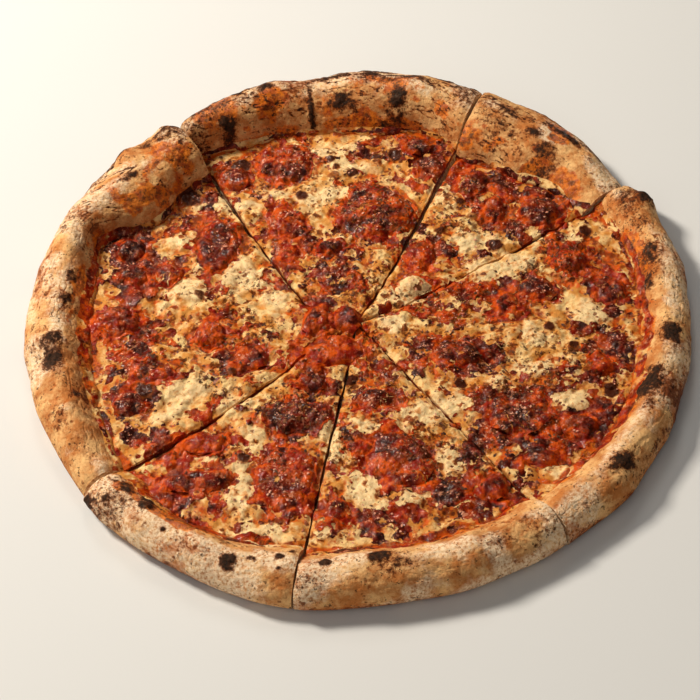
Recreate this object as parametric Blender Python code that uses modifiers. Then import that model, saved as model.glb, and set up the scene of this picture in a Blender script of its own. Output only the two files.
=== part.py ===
"""A whole pizza with roasted tomato, cut into six slices that still lie together.

Each slice is a dough base with a raised rim, a sheet of sauce and a sheet of
melted cheese with small lumps fused on it. Larger pieces of tomato sit in
pockets of the cheese, and three of them lie over the middle, where the cuts meet.
Lengths in the tables are millimetres and become metres as the meshes are made.
+Z is up, and the origin is the middle of the underside. Directions and places in
the tables are measured from where the cuts meet.
"""

from math import pi

import bmesh
import bpy
import numpy as np

MM = 0.001

# Layers, from the underside up.
BASE_TOP = 4.0
SAUCE_BOTTOM, SAUCE_TOP = 4.3, 5.7
CHEESE_BOTTOM, CHEESE_TOP, CHEESE_RELIEF = 6.05, 8.6, 0.7
CHEESE_EDGE_TOP = 7.5
POCKET_FLOOR = 6.85
LUMP_BOTTOM = 7.2

# How far each sheet stays inside the foot of the rim, and inside the cut faces.
SAUCE_MARGIN = 1.3
CHEESE_MARGIN, CHEESE_LOBES = 2.4, 4.0
CHEESE_THINS_FROM = 108.0
SHEET_INSET = 0.15
POCKET_GAP = 0.45
POCKET_TOP = CHEESE_TOP + 12.0

# The rim's section as drawn before it is fitted to each slice.
DRAWN_FOOT, DRAWN_OUTER, DRAWN_HEIGHT = 138.0, 165.0, 20.0
CREST_ACROSS = 0.55
WIDEST_HEIGHT = 0.37
UNDERCUT = 0.24
RIM_WAVE = 0.55

# The cuts are straight until they come this near to the middle, then bend into it.
BEND_RADIUS = 30.0
BEND_STATIONS = (12.0, 30.0)
RIM_RADIUS = 150.0
DRAWN_TURN = 1.0

# Cut: direction in degrees, how far it passes beside the middle, how far it bows
# sideways half way out, how far it veers on the rim, and half its open width at
# four radii.
GAP_RADII = (0.0, 70.0, 128.0, 170.0)
CUTS = {
    "a_b": (116.8, 14.3, 3.5, 5.0, (0.7, 0.9, 1.2, 1.2)),
    "b_c": (66.0, -2.0, -1.3, -3.0, (0.7, 0.8, 1.8, 0.8)),
    "c_d": (32.0, -3.0, -1.8, 0.0, (0.6, 0.7, 0.7, 0.7)),
    "d_e": (-56.2, 0.2, 0.0, 0.0, (0.6, 0.6, 0.7, 0.6)),
    "e_f": (-101.9, 1.4, 0.0, 0.0, (0.6, 0.6, 0.6, 0.6)),
    "f_a": (-141.5, -3.5, 6.0, 0.0, (0.7, 1.0, 1.4, 1.0)),
}
CUT_LENGTH = 170.0
VEER_START, VEER_LENGTH = 128.0, 30.0

# The cuts meet a little beside the middle of the outline, which is the origin.
CUT_CENTRE = (-0.8, -3.8, 0.0)

# Rim stations: direction in degrees, radius of the foot, outer radius, height of
# the crest, and how steep the inner wall is (1 is upright, 0.5 a gentle slope).
SLICES = {
    "a": ("a_b", "f_a", (
        (123, 130, 167, 26, 0.95), (128, 129.5, 170, 28, 1.0), (136, 127, 169.5, 28, 1.0),
        (144, 126, 168.5, 27, 1.0), (149, 134, 168, 25, 0.9), (153, 144, 167, 23, 0.75),
        (158, 140, 166.5, 22, 0.6), (166, 133, 166, 21, 0.55), (180, 130, 164.3, 19.5, 0.5),
        (191, 129, 162, 19, 0.5), (204, 134, 162, 19, 0.5), (211, 136, 162.5, 17, 0.5),
        (219, 138, 163.5, 13.5, 0.5))),
    "b": ("b_c", "a_b", (
        (65, 137, 174, 26.5, 1.0), (74, 143, 175, 27, 1.0), (82, 139, 175.5, 27.5, 1.0),
        (90, 139, 175.5, 27.5, 0.95), (95, 139.5, 175, 26.5, 0.9), (97, 140, 173, 24.5, 0.8),
        (99, 140, 175, 27, 0.9), (105, 142, 173.5, 27.5, 1.0), (112, 143, 170.5, 28, 1.0),
        (124, 147, 167, 26, 1.0))),
    "c": ("c_d", "b_c", (
        (30, 136, 168, 14.5, 0.5), (36, 134, 170, 17.5, 0.5), (43, 136, 172.5, 20, 0.7),
        (47, 131, 174, 22.5, 0.9), (54, 131, 175.5, 24.5, 1.0), (66, 128, 175.5, 26, 1.0))),
    "d": ("d_e", "c_d", (
        (-58, 138, 165.5, 18.5, 0.6), (-44, 134, 165.8, 18, 0.5), (-36, 137, 165, 18, 0.5),
        (-21, 138, 163.8, 18, 0.55), (-6, 139, 164.3, 18, 0.55), (2, 140, 167, 18, 0.6),
        (10, 144, 168.3, 18.5, 0.7), (18, 146, 168.5, 19, 0.7), (25, 146, 172.5, 18.5, 0.7),
        (31, 143, 169.5, 14.5, 0.55))),
    "e": ("e_f", "d_e", (
        (-102, 141, 169.8, 18.5, 0.6), (-95, 136, 168.7, 19, 0.5), (-90, 134, 167.3, 19, 0.5),
        (-78, 135, 166.4, 19, 0.5), (-69, 135, 166.2, 19, 0.5), (-56, 131, 165, 19, 0.55))),
    "f": ("f_a", "e_f", (
        (-143, 137, 165, 13.5, 0.55), (-135, 139, 166, 17, 0.6), (-130, 142, 166.5, 18, 0.6),
        (-115, 142, 167.5, 18, 0.6), (-108, 138, 169.3, 18, 0.55), (-101, 134, 170, 18.5, 0.5))),
}

# Blisters of the rim: slice, direction, share of the way across, width, height.
BLISTERS = (
    ("a", 127.5, 0.78, 11, 3.0), ("a", 137, 0.82, 13, 3.0), ("a", 146, 0.6, 16, 1.8),
    ("a", 160, 0.6, 18, 1.6), ("a", 185, 0.7, 18, 1.5), ("a", 203, 0.6, 16, 1.4),
    ("b", 76, 0.6, 18, 1.8), ("b", 88, 0.7, 16, 1.5), ("b", 106, 0.6, 18, 1.6),
    ("c", 58, 0.5, 18, 1.8), ("c", 38, 0.7, 14, 1.6),
    ("d", 25, 0.8, 13, 3.4), ("d", 8, 0.6, 18, 1.5), ("d", -14, 0.6, 18, 1.6),
    ("d", -40, 0.7, 16, 1.4), ("e", -72, 0.6, 18, 1.5), ("e", -92, 0.7, 16, 1.6),
    ("f", -137, 0.8, 13, 2.6), ("f", -118, 0.6, 16, 1.5),
)

# Pieces of tomato, by slice: middle x and y, size along x and y, share of the
# height by which the top dips in the middle.
TOMATO = {
    "a": ((-69, 57, 26, 38, 0.35), (-113, 55, 16, 18, 0), (-112, 38, 17, 15, 0),
          (-119, 6, 25, 20, 0), (-93, 37, 16, 18, 0), (-72, -4, 18, 20, 0),
          (-100, -29, 23, 15, 0), (-53, -22, 25, 15, 0), (-109, -47, 17, 15, 0)),
    "b": ((-33, 114, 30, 30, 0.1), (-60, 106, 17, 22, 0), (12, 76, 46, 44, 0.1),
          (-33, 71, 20, 23, 0), (36, 125, 18, 13, 0), (-12, 52, 19, 10, 0)),
    "c": ((63, 94, 19, 22, 0), (75, 73, 15, 20, 0), (95, 70, 21, 24, 0),
          (34, 43, 17, 21, 0), (30, 22, 23, 13, 0)),
    "d": ((109, 38, 18, 22, 0), (92, 18, 18, 19, 0), (75, 8, 13, 19, 0), (127, 15, 16, 25, 0),
          (49, -23, 27, 17, 0), (118, -35, 15, 15, 0), (74, -61, 32, 31, 0.1),
          (104, -72, 20, 16, 0), (83, -90, 22, 12, 0)),
    "e": ((9, -51, 19, 15, 0), (17, -89, 30, 38, 0.1), (60, -105, 16, 17, 0),
          (40, -109, 20, 15, 0), (-12, -118, 14, 15, 0)),
    "f": ((-73, -73, 27, 12, 0), (-76, -96, 32, 14, 0), (-36, -99, 27, 42, 0.1),
          (-30, -60, 30, 24, 0.1), (-22, -38, 17, 12, 0)),
    "middle": ((-20.5, 2, 14.5, 22, 0), (-4, 2, 14.5, 19, 0), (-10, -19.5, 34, 18, 0)),
}
# How high a piece rises for the root of its width, and how far its outline reaches.
TOMATO_RISE = 0.75
OUTLINE_REACH = 1.06

# Wedges that trim the tomato at the cuts reach well above, below and beyond the food.
WEDGE_BOTTOM, WEDGE_TOP, WEDGE_REACH = -10.0, 60.0, 1.4

# Small lumps of tomato, herb and cheese fused to the cheese: middle and width.
BITS = {
    "a": ((-108, 22, 10), (-96, -68, 11), (-80, 86, 12), (-84, -10, 8), (-48, 5, 10),
          (-66, 18, 9), (-50, 32, 8), (-75, -30, 8)),
    "b": ((16, 47, 11), (-15, 36, 12), (-6, 24, 9), (-32, 48, 8), (14, 128, 10),
          (25, 112, 10), (-47, 84, 8), (-1, 107, 6)),
    "c": ((52, 41, 9), (46, 77, 8), (73, 49, 7)),
    "d": ((104, 1, 9), (114, 55, 9), (127, -15, 14), (100, -38, 10), (116, -52, 9),
          (67, -11, 9), (62, 19, 10), (27, -25, 7), (52, -43, 7), (84, 37, 9)),
    "e": ((13, -33, 8), (25, -61, 9), (54, -86, 7), (-6, -76, 6), (35, -66, 6)),
    "f": ((-53, -62, 7), (-54, -84, 7), (-90, -86, 7)),
}
BIT_RISE = 1.5

# Degrees that one step round the slice covers, and where the cheese has rows of points.
STEP_CRUST, STEP_SAUCE, STEP_CHEESE = 4.5, 9.0, 6.0
CHEESE_STATIONS = (12.0, 30.0, 52.0, 74.0, 95.0, 114.0)

# Colour and roughness of each kind of food.
COLOURS = {
    "crust": (0.78, 0.56, 0.36, 0.85),
    "sauce": (0.42, 0.05, 0.015, 0.45),
    "cheese": (0.86, 0.66, 0.34, 0.4),
    "tomato": (0.4, 0.04, 0.02, 0.3),
}


def smooth_step(share):
    """0 to 1 with level ends."""
    share = np.clip(share, 0.0, 1.0)
    return share * share * (3.0 - 2.0 * share)


def waves(x, y, seed, length):
    """Even-tempered unevenness of about -1 to 1: six sine waves in mixed directions."""
    draw = np.random.default_rng(seed)
    total = np.zeros(np.broadcast(x, y).shape)
    for turn, phase, scale in zip(draw.uniform(0, pi, 6), draw.uniform(0, 2 * pi, 6),
                                  draw.uniform(0.7, 1.5, 6)):
        along = x * np.cos(turn) + y * np.sin(turn)
        total = total + np.sin(2 * pi * along / (length * scale) + phase)
    return total / 3.0


class Cut:
    """A cut from the middle to the edge."""

    def __init__(self, direction, beside, bow, veer, gaps):
        self.direction = np.radians(direction)
        self.beside = beside
        self.bow = bow
        self.veer = veer
        self.gaps = gaps

    def angle(self, radius):
        """A line beside the middle, bowed and veering, which bends into the middle near it."""
        side = self.beside * smooth_step(radius / BEND_RADIUS)
        side = side + self.bow * np.sin(pi * np.minimum(radius / CUT_LENGTH, 1.0))
        side = side + self.veer * smooth_step((radius - VEER_START) / VEER_LENGTH)
        widest = abs(self.beside) + abs(self.bow)
        return self.direction + np.arcsin(side / np.maximum(radius, widest))

    def half_gap(self, radius, inset):
        """Half the open width as an angle."""
        gap = np.interp(radius, GAP_RADII, self.gaps) + inset
        return np.arcsin(np.minimum(gap / np.maximum(radius, 0.1), 1.0))


class Slice:
    """One slice: its two cuts and the measures of its rim."""

    def __init__(self, name, first, last, stations):
        self.name = name
        self.first = Cut(*CUTS[first])
        self.last = Cut(*CUTS[last])
        if self.last.direction < self.first.direction:
            self.last.direction += 2 * pi
        self.stations = np.array(stations, float)
        self.seed = ord(name)

    def sides(self, radius, inset):
        """Angles of both cut faces at a radius."""
        low = self.first.angle(radius) + self.first.half_gap(radius, inset)
        high = self.last.angle(radius) - self.last.half_gap(radius, inset)
        return low, high

    def tip_radius(self, inset):
        """Where the two cut faces meet."""
        radii = np.linspace(0.5, 12.0, 2000)
        low, high = self.sides(radii, inset)
        return radii[np.argmax(high > low)]

    def span_degrees(self):
        """How far the slice goes round at the rim."""
        return np.degrees(self.last.angle(RIM_RADIUS) - self.first.angle(RIM_RADIUS))

    def rim(self, share):
        """Foot, outer radius, height and steepness at a share of the way round."""
        start, end = self.first.angle(RIM_RADIUS), self.last.angle(RIM_RADIUS)
        direction = np.degrees(start + share * (end - start))
        column = self.stations.T
        spread = (-3.0, -1.5, 0.0, 1.5, 3.0)
        foot, outer, height, steep = (
            np.mean([np.interp(direction + turn, column[0], values) for turn in spread], axis=0)
            for values in column[1:])
        arc = np.radians(direction) * RIM_RADIUS
        outer = outer + RIM_WAVE * waves(arc, 0.0, self.seed, 34.0)
        height = height + RIM_WAVE * waves(arc, 9.0, self.seed + 50, 30.0)
        foot = foot + RIM_WAVE * waves(arc, 5.0, self.seed + 90, 26.0)
        return direction, foot, outer, height, steep

    def nearest_foot(self, share):
        """The smallest radius of the foot a few degrees to either side."""
        turns = np.array((-4.0, -2.0, 0.0, 2.0, 4.0)) / self.span_degrees()
        return np.min([self.rim(np.clip(share + turn, 0, 1))[1] for turn in turns], axis=0)

    def holds(self, x, y):
        """Whether points lie between the cut faces."""
        radius, angle = np.hypot(x, y), np.arctan2(y, x)
        low, high = self.sides(radius, 0.0)
        turned = np.mod(angle - low, 2 * pi)
        return turned < high - low


def rim_section():
    """Radius and height along the drawn section, from the middle at the top, over
    the rim and back: an inner quarter ellipse, an outer one and a rounded underside."""
    width = DRAWN_OUTER - DRAWN_FOOT
    points = [(0.0, BASE_TOP)] + [(station, BASE_TOP) for station in BEND_STATIONS]
    for turn in np.radians((0, 20, 42, 65, 90)):
        points.append((DRAWN_FOOT + width * CREST_ACROSS * (1 - np.cos(turn)),
                       BASE_TOP + (DRAWN_HEIGHT - BASE_TOP) * np.sin(turn)))
    widest = WIDEST_HEIGHT * DRAWN_HEIGHT
    for turn in np.radians((25, 48, 70, 90)):
        points.append((DRAWN_FOOT + width * (CREST_ACROSS + (1 - CREST_ACROSS) * np.sin(turn)),
                       widest + (DRAWN_HEIGHT - widest) * np.cos(turn)))
    for turn in np.radians((35, 65, 90)):
        points.append((DRAWN_OUTER - width * UNDERCUT * (1 - np.cos(turn)),
                       widest * (1 - np.sin(turn))))
    points += [(station, 0.0) for station in reversed(BEND_STATIONS)] + [(0.0, 0.0)]
    return points


def turned_wedge(name, section, steps):
    """Solid mesh of a section turned through the drawn angle, closed at both ends."""
    profile_mesh = bpy.data.meshes.new(name)
    links = [(index, index + 1) for index in range(len(section) - 1)]
    profile_mesh.from_pydata([(r * MM, 0, z * MM) for r, z in section], links, [])
    profile = bpy.data.objects.new(name, profile_mesh)
    bpy.context.scene.collection.objects.link(profile)
    turn = profile.modifiers.new("turn", "SCREW")
    turn.axis = "Z"
    turn.angle = DRAWN_TURN
    turn.steps = turn.render_steps = steps
    turn.use_merge_vertices = True
    turn.merge_threshold = 0.0001
    depsgraph = bpy.context.evaluated_depsgraph_get()
    mesh = bpy.data.meshes.new_from_object(profile.evaluated_get(depsgraph))
    bpy.data.objects.remove(profile)
    close_ends(mesh)
    return mesh


def close_ends(mesh):
    """Fill the two open sections, which share the upright edge at the tip."""
    bm = bmesh.new()
    bm.from_mesh(mesh)
    on_axis = [vert for vert in bm.verts if vert.co.xy.length < 0.0001]
    tip_edge = bm.edges.new((min(on_axis, key=lambda v: v.co.z), max(on_axis, key=lambda v: v.co.z)))
    rows = {0: [tip_edge], 1: [tip_edge]}
    for edge in bm.edges:
        if edge.is_boundary:
            far = max(edge.verts, key=lambda v: v.co.xy.length).co
            rows[int(np.arctan2(far.y, far.x) > DRAWN_TURN / 2)].append(edge)
    for row in rows.values():
        bmesh.ops.contextual_create(bm, geom=row)
    bmesh.ops.triangulate(bm, faces=bm.faces[:])
    bmesh.ops.recalc_face_normals(bm, faces=bm.faces[:])
    bm.to_mesh(mesh)
    bm.free()


def coordinates(mesh):
    """The mesh's points in millimetres, one row each."""
    flat = np.empty(len(mesh.vertices) * 3)
    mesh.vertices.foreach_get("co", flat)
    return flat.reshape(-1, 3) / MM


def set_coordinates(mesh, points):
    """Write points in millimetres back to the mesh."""
    mesh.vertices.foreach_set("co", (points * MM).ravel())
    mesh.update()


def fit_to_slice(mesh, piece, measure, inset=0.0):
    """Turn a drawn wedge into the slice: radius and height come from measure, and
    the angle is shared out between the two cut faces at that radius."""
    points = coordinates(mesh)
    drawn = np.hypot(points[:, 0], points[:, 1])
    share = np.clip(np.arctan2(points[:, 1], points[:, 0]) / DRAWN_TURN, 0.0, 1.0)
    share[drawn < 0.01] = 0.5
    radius, height = measure(drawn, share, points[:, 2])
    tip = piece.tip_radius(inset)
    near = tip + (BEND_RADIUS - tip) * drawn / BEND_RADIUS
    radius = np.where(drawn < BEND_RADIUS, near, radius)
    low, high = piece.sides(radius, inset)
    angle = low + share * (high - low)
    height = height if np.ndim(height) else np.full(len(points), height)
    x, y = radius * np.cos(angle), radius * np.sin(angle)
    set_coordinates(mesh, np.column_stack([x, y, height]))


def crust_measure(piece):
    """Fit the drawn rim to the slice's foot, outer radius, height and steepness."""

    def measure(drawn, share, height):
        direction, foot, outer, crest, steep = piece.rim(share)
        inner = BEND_RADIUS + (foot - BEND_RADIUS) * (drawn - BEND_RADIUS) / (DRAWN_FOOT - BEND_RADIUS)
        across = np.clip((drawn - DRAWN_FOOT) / (DRAWN_OUTER - DRAWN_FOOT), 0.0, 1.0)
        wall = CREST_ACROSS * (across / CREST_ACROSS) ** steep
        on_wall = (across < CREST_ACROSS) & (height > BASE_TOP)
        across = np.where(on_wall, wall, across)
        radius = np.where(drawn > DRAWN_FOOT, foot + across * (outer - foot), inner)
        rise = (crest - BASE_TOP) / (DRAWN_HEIGHT - BASE_TOP)
        fitted = np.where(height > BASE_TOP, BASE_TOP + (height - BASE_TOP) * rise, height)
        for name, where, place, width, bulge in BLISTERS:
            if name != piece.name:
                continue
            away = np.radians(direction - where) * RIM_RADIUS
            aside = (across - place) * (outer - foot)
            swell = bulge * np.exp(-(away ** 2 + aside ** 2) / (0.5 * width) ** 2)
            upper = (drawn > DRAWN_FOOT) & (height > BASE_TOP)
            fitted = fitted + np.where(upper, swell * smooth_step(height / DRAWN_HEIGHT), 0.0)
            radius = radius + np.where(upper & (across > 0.9), 0.6 * swell, 0.0)
        return radius, fitted

    return measure


def sauce_measure(piece):
    """A level sheet out to just inside the foot of the rim."""

    def measure(drawn, share, height):
        foot = piece.nearest_foot(share) - SAUCE_MARGIN
        return BEND_RADIUS + (foot - BEND_RADIUS) * (drawn - BEND_RADIUS) / (DRAWN_FOOT - BEND_RADIUS), height

    return measure


def cheese_measure(piece):
    """A lobed sheet with an uneven top that thins towards the rim."""

    def measure(drawn, share, height):
        arc = np.radians(piece.rim(share)[0]) * RIM_RADIUS
        lobes = 0.5 + 0.5 * np.clip(waves(arc, 3.0, piece.seed + 7, 30.0), -1, 1)
        edge = piece.nearest_foot(share) - CHEESE_MARGIN - CHEESE_LOBES * lobes
        radius = BEND_RADIUS + (edge - BEND_RADIUS) * (drawn - BEND_RADIUS) / (DRAWN_FOOT - BEND_RADIUS)
        low, high = piece.sides(np.maximum(radius, 5.0), 0.0)
        angle = low + share * (high - low)
        x, y = radius * np.cos(angle), radius * np.sin(angle)
        relief = CHEESE_TOP + CHEESE_RELIEF * np.clip(waves(x, y, piece.seed + 20, 34.0), -1.2, 1.2)
        thin = smooth_step((drawn - CHEESE_THINS_FROM) / (DRAWN_FOOT - CHEESE_THINS_FROM))
        top = relief + (CHEESE_EDGE_TOP - relief) * thin
        return radius, np.where(height > CHEESE_BOTTOM + 0.1, top, height)

    return measure


def sheet_section(bottom, top, stations):
    """Section of a sheet: out along the top, down the edge and back."""
    upper = [(0.0, top)] + [(station, top) for station in stations] + [(DRAWN_FOOT, top)]
    lower = [(DRAWN_FOOT, bottom)] + [(station, bottom) for station in reversed(BEND_STATIONS)]
    return upper + lower + [(0.0, bottom)]


def material(kind):
    """One Principled material for each kind of food."""
    made = bpy.data.materials.get(kind)
    if made is None:
        made = bpy.data.materials.new(kind)
        made.use_nodes = True
        red, green, blue, rough = COLOURS[kind]
        shader = made.node_tree.nodes["Principled BSDF"]
        shader.inputs["Base Color"].default_value = (red, green, blue, 1.0)
        shader.inputs["Roughness"].default_value = rough
    return made


def add_object(name, mesh, collection, kind=None):
    """Put a mesh in a collection, smooth and with its own material."""
    made = bpy.data.objects.new(name, mesh)
    made.location = [value * MM for value in CUT_CENTRE]
    collection.objects.link(made)
    if kind is None:
        made.hide_render = True
        made.display_type = "WIRE"
    else:
        mesh.materials.append(material(kind).copy())
        mesh.shade_smooth()
        mesh.set_sharp_from_angle(angle=np.radians(50))
    return made


def add_boolean(target, operation, *, cutter=None, group=None):
    """A live Boolean by one object or by a collection."""
    change = target.modifiers.new(operation.lower(), "BOOLEAN")
    change.operation = operation
    change.solver = "EXACT"
    if group is not None:
        change.operand_type = "COLLECTION"
        change.collection = group
    else:
        change.object = cutter


def piece_outline(turn, seed):
    """Uneven outline of a piece by direction, at most a little wider than 1."""
    draw = np.random.default_rng(seed)
    phases = draw.uniform(0, 2 * pi, 3)

    def lobes(angle):
        return (1.0 + 0.09 * np.sin(2 * angle + phases[0]) + 0.07 * np.sin(3 * angle + phases[1])
                + 0.04 * np.sin(5 * angle + phases[2]))

    return OUTLINE_REACH * lobes(turn) / lobes(np.linspace(0, 2 * pi, 73)).max()


def piece_sides(size_x, size_y):
    """More sides on larger pieces."""
    longest = max(size_x, size_y)
    if longest > 28:
        return 16, 6
    return (12, 5) if longest > 17 else (8, 5)


def tomato_mesh(name, x, y, size_x, size_y, dip, seed):
    """A ball flattened below, domed and uneven above, with an uneven outline."""
    around, rows = piece_sides(size_x, size_y)
    mesh = bpy.data.meshes.new(name)
    bm = bmesh.new()
    bmesh.ops.create_uvsphere(bm, u_segments=around, v_segments=rows, radius=1.0)
    bmesh.ops.triangulate(bm, faces=bm.faces[:])
    bm.to_mesh(mesh)
    bm.free()
    points = coordinates(mesh) * MM
    ring = np.hypot(points[:, 0], points[:, 1])
    turn = np.arctan2(points[:, 1], points[:, 0])
    spread = np.where(ring > 0.01, ring, 0.0) ** 0.6 * piece_outline(turn, seed)
    lowest_ring = -np.cos(pi / rows)
    rising = np.clip((points[:, 2] - lowest_ring) / (1.0 - lowest_ring), 0.0, 1.0)
    place_x = x + 0.5 * size_x * spread * np.cos(turn)
    place_y = y + 0.5 * size_y * spread * np.sin(turn)
    top = CHEESE_TOP + 0.6 + TOMATO_RISE * np.sqrt(min(size_x, size_y))
    height = LUMP_BOTTOM + (top - LUMP_BOTTOM) * rising
    uneven = 0.9 * waves(place_x, place_y, seed + 5, 13.0) * smooth_step((rising - 0.2) / 0.5)
    sunk = dip * (top - LUMP_BOTTOM) * smooth_step(1.0 - ring / 0.8) * (rising > 0.5)
    set_coordinates(mesh, np.column_stack([place_x, place_y, height + uneven - sunk]))
    return mesh


def pocket_mesh(name, x, y, size_x, size_y, seed):
    """A prism of the piece's outline, wider by the gap, from the pocket's floor up."""
    around, _ = piece_sides(size_x, size_y)
    mesh = bpy.data.meshes.new(name)
    bm = bmesh.new()
    bmesh.ops.create_cone(bm, cap_ends=True, segments=around, radius1=1.0, radius2=1.0, depth=2.0)
    bmesh.ops.triangulate(bm, faces=bm.faces[:])
    bm.to_mesh(mesh)
    bm.free()
    points = coordinates(mesh) * MM
    turn = np.arctan2(points[:, 1], points[:, 0])
    outline = piece_outline(turn, seed)
    place_x = x + (0.5 * size_x * outline + POCKET_GAP) * np.cos(turn)
    place_y = y + (0.5 * size_y * outline + POCKET_GAP) * np.sin(turn)
    height = np.where(points[:, 2] > 0, POCKET_TOP, POCKET_FLOOR)
    set_coordinates(mesh, np.column_stack([place_x, place_y, height]))
    return mesh


def bit_mesh(name, x, y, width, seed):
    """A small flattened ball, half sunk in the cheese."""
    mesh = bpy.data.meshes.new(name)
    bm = bmesh.new()
    bmesh.ops.create_uvsphere(bm, u_segments=7, v_segments=4, radius=1.0)
    bmesh.ops.triangulate(bm, faces=bm.faces[:])
    bm.to_mesh(mesh)
    bm.free()
    points = coordinates(mesh) * MM
    turn = np.arctan2(points[:, 1], points[:, 0])
    spread = 0.5 * width * piece_outline(turn, seed)
    height = CHEESE_TOP - 0.2 + BIT_RISE * points[:, 2]
    set_coordinates(mesh, np.column_stack([x + spread * points[:, 0], y + spread * points[:, 1], height]))
    return mesh


def new_collection(name, parent):
    """An empty collection inside another."""
    made = bpy.data.collections.new(name)
    parent.children.link(made)
    return made


def steps_for(piece, degrees):
    """How many steps of about this many degrees go round the slice."""
    return max(3, round(piece.span_degrees() / degrees))


def build_slice(piece, food, cutters):
    """Crust, sauce and cheese of one slice; returns its cheese, wedge and pockets."""
    name = piece.name
    crust = turned_wedge("crust_" + name, rim_section(), steps_for(piece, STEP_CRUST))
    fit_to_slice(crust, piece, crust_measure(piece))
    add_object("crust_" + name, crust, food, "crust")

    section = sheet_section(SAUCE_BOTTOM, SAUCE_TOP, BEND_STATIONS)
    sauce = turned_wedge("sauce_" + name, section, steps_for(piece, STEP_SAUCE))
    fit_to_slice(sauce, piece, sauce_measure(piece), SHEET_INSET)
    add_object("sauce_" + name, sauce, food, "sauce")

    section = sheet_section(CHEESE_BOTTOM, CHEESE_TOP, CHEESE_STATIONS)
    sheet = turned_wedge("cheese_" + name, section, steps_for(piece, STEP_CHEESE))
    fit_to_slice(sheet, piece, cheese_measure(piece), SHEET_INSET)
    cheese = add_object("cheese_" + name, sheet, food, "cheese")

    wedge_section = sheet_section(WEDGE_BOTTOM, WEDGE_TOP, BEND_STATIONS)
    wedge_mesh = turned_wedge("wedge_" + name, wedge_section, steps_for(piece, STEP_SAUCE))
    fit_to_slice(wedge_mesh, piece, lambda drawn, share, z: (drawn * WEDGE_REACH, z), SHEET_INSET)
    wedge = add_object("wedge_" + name, wedge_mesh, cutters)

    bits = new_collection("bits_" + name, cutters)
    for number, (x, y, width) in enumerate(BITS[name], 1):
        label = f"bit_{name}{number}"
        add_object(label, bit_mesh(label, x, y, width, piece.seed + number), bits)
    add_boolean(cheese, "UNION", group=bits)
    return cheese, wedge, new_collection("pockets_" + name, cutters)


def build_tomato(slices, parts, food):
    """Each piece of tomato and its pocket; a piece that crosses a cut is trimmed."""
    for group, pieces in TOMATO.items():
        for number, (x, y, size_x, size_y, dip) in enumerate(pieces, 1):
            label = f"tomato_{group}{number}" if group != "middle" else f"tomato_middle_{number}"
            seed = 100 * (ord(group[0]) - 96) + number
            mesh = tomato_mesh(label, x, y, size_x, size_y, dip, seed)
            made = add_object(label, mesh, food, "tomato")
            holders = slices if group == "middle" else {group: slices[group]}
            if group != "middle":
                points = coordinates(mesh)
                if not slices[group].holds(points[:, 0], points[:, 1]).all():
                    add_boolean(made, "INTERSECT", cutter=parts[group][1])
            pocket = pocket_mesh("pocket_" + label, x, y, size_x, size_y, seed)
            cutter = None
            for holder in holders:
                if cutter is None:
                    cutter = add_object("pocket_" + label, pocket, parts[holder][2])
                else:
                    parts[holder][2].objects.link(cutter)


def main():
    """Build the slices and the tomato, then cut the pockets into the cheese."""
    for old in list(bpy.data.objects):
        bpy.data.objects.remove(old)
    scene_root = bpy.context.scene.collection
    food = new_collection("pizza", scene_root)
    cutters = new_collection("cutters", scene_root)
    slices = {name: Slice(name, *values) for name, values in SLICES.items()}
    parts = {name: build_slice(piece, food, cutters) for name, piece in slices.items()}
    build_tomato(slices, parts, food)
    for cheese, _, pockets in parts.values():
        add_boolean(cheese, "DIFFERENCE", group=pockets)


main()
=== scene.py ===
"""Looks of a whole pizza in six slices: charred rim, melted cheese, roasted tomato.

Lengths are millimetres until a mesh is made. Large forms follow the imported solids;
the fine surface, the colours and everything scattered on top are made here.
"""

from math import pi

import bpy
import numpy as np
from mathutils import Matrix, Vector


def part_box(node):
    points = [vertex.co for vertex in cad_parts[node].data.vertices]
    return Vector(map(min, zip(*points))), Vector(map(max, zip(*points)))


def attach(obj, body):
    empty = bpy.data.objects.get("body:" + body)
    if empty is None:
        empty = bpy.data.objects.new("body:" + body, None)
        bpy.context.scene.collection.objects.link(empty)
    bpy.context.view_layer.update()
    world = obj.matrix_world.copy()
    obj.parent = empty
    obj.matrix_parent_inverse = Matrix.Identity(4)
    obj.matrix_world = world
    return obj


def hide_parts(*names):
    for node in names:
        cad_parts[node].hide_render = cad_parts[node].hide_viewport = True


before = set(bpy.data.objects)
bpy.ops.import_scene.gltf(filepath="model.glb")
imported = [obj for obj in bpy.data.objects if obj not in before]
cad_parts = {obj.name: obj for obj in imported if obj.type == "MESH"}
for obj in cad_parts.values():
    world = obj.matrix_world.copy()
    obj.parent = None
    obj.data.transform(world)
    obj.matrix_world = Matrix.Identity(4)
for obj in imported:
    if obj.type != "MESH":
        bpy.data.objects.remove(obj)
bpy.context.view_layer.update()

MM = 0.001

# ---------------------------------------------------------------- sizes

BASE_TOP = 4.0
SAUCE_BOTTOM, SAUCE_TOP = 4.3, 5.7
CHEESE_BOTTOM, CHEESE_TOP, CHEESE_RELIEF = 6.05, 8.6, 0.7
CHEESE_EDGE_TOP, CHEESE_THINS_FROM = 7.6, 0.78
LEAST_TOP = 7.5
CHEESE_PAST_FOOT, CHEESE_UP_SLOPE = 1.2, 4.4
SAUCE_TIP_GAP, SAUCE_FOOT_GAP = 0.4, 0.3
LUMP_BOTTOM = 7.2

CREST_ACROSS = 0.55
WIDEST_HEIGHT = 0.37
UNDERCUT = 0.24
RIM_WAVE = 0.55
BEND_RADIUS = 30.0
RIM_RADIUS = 150.0

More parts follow.
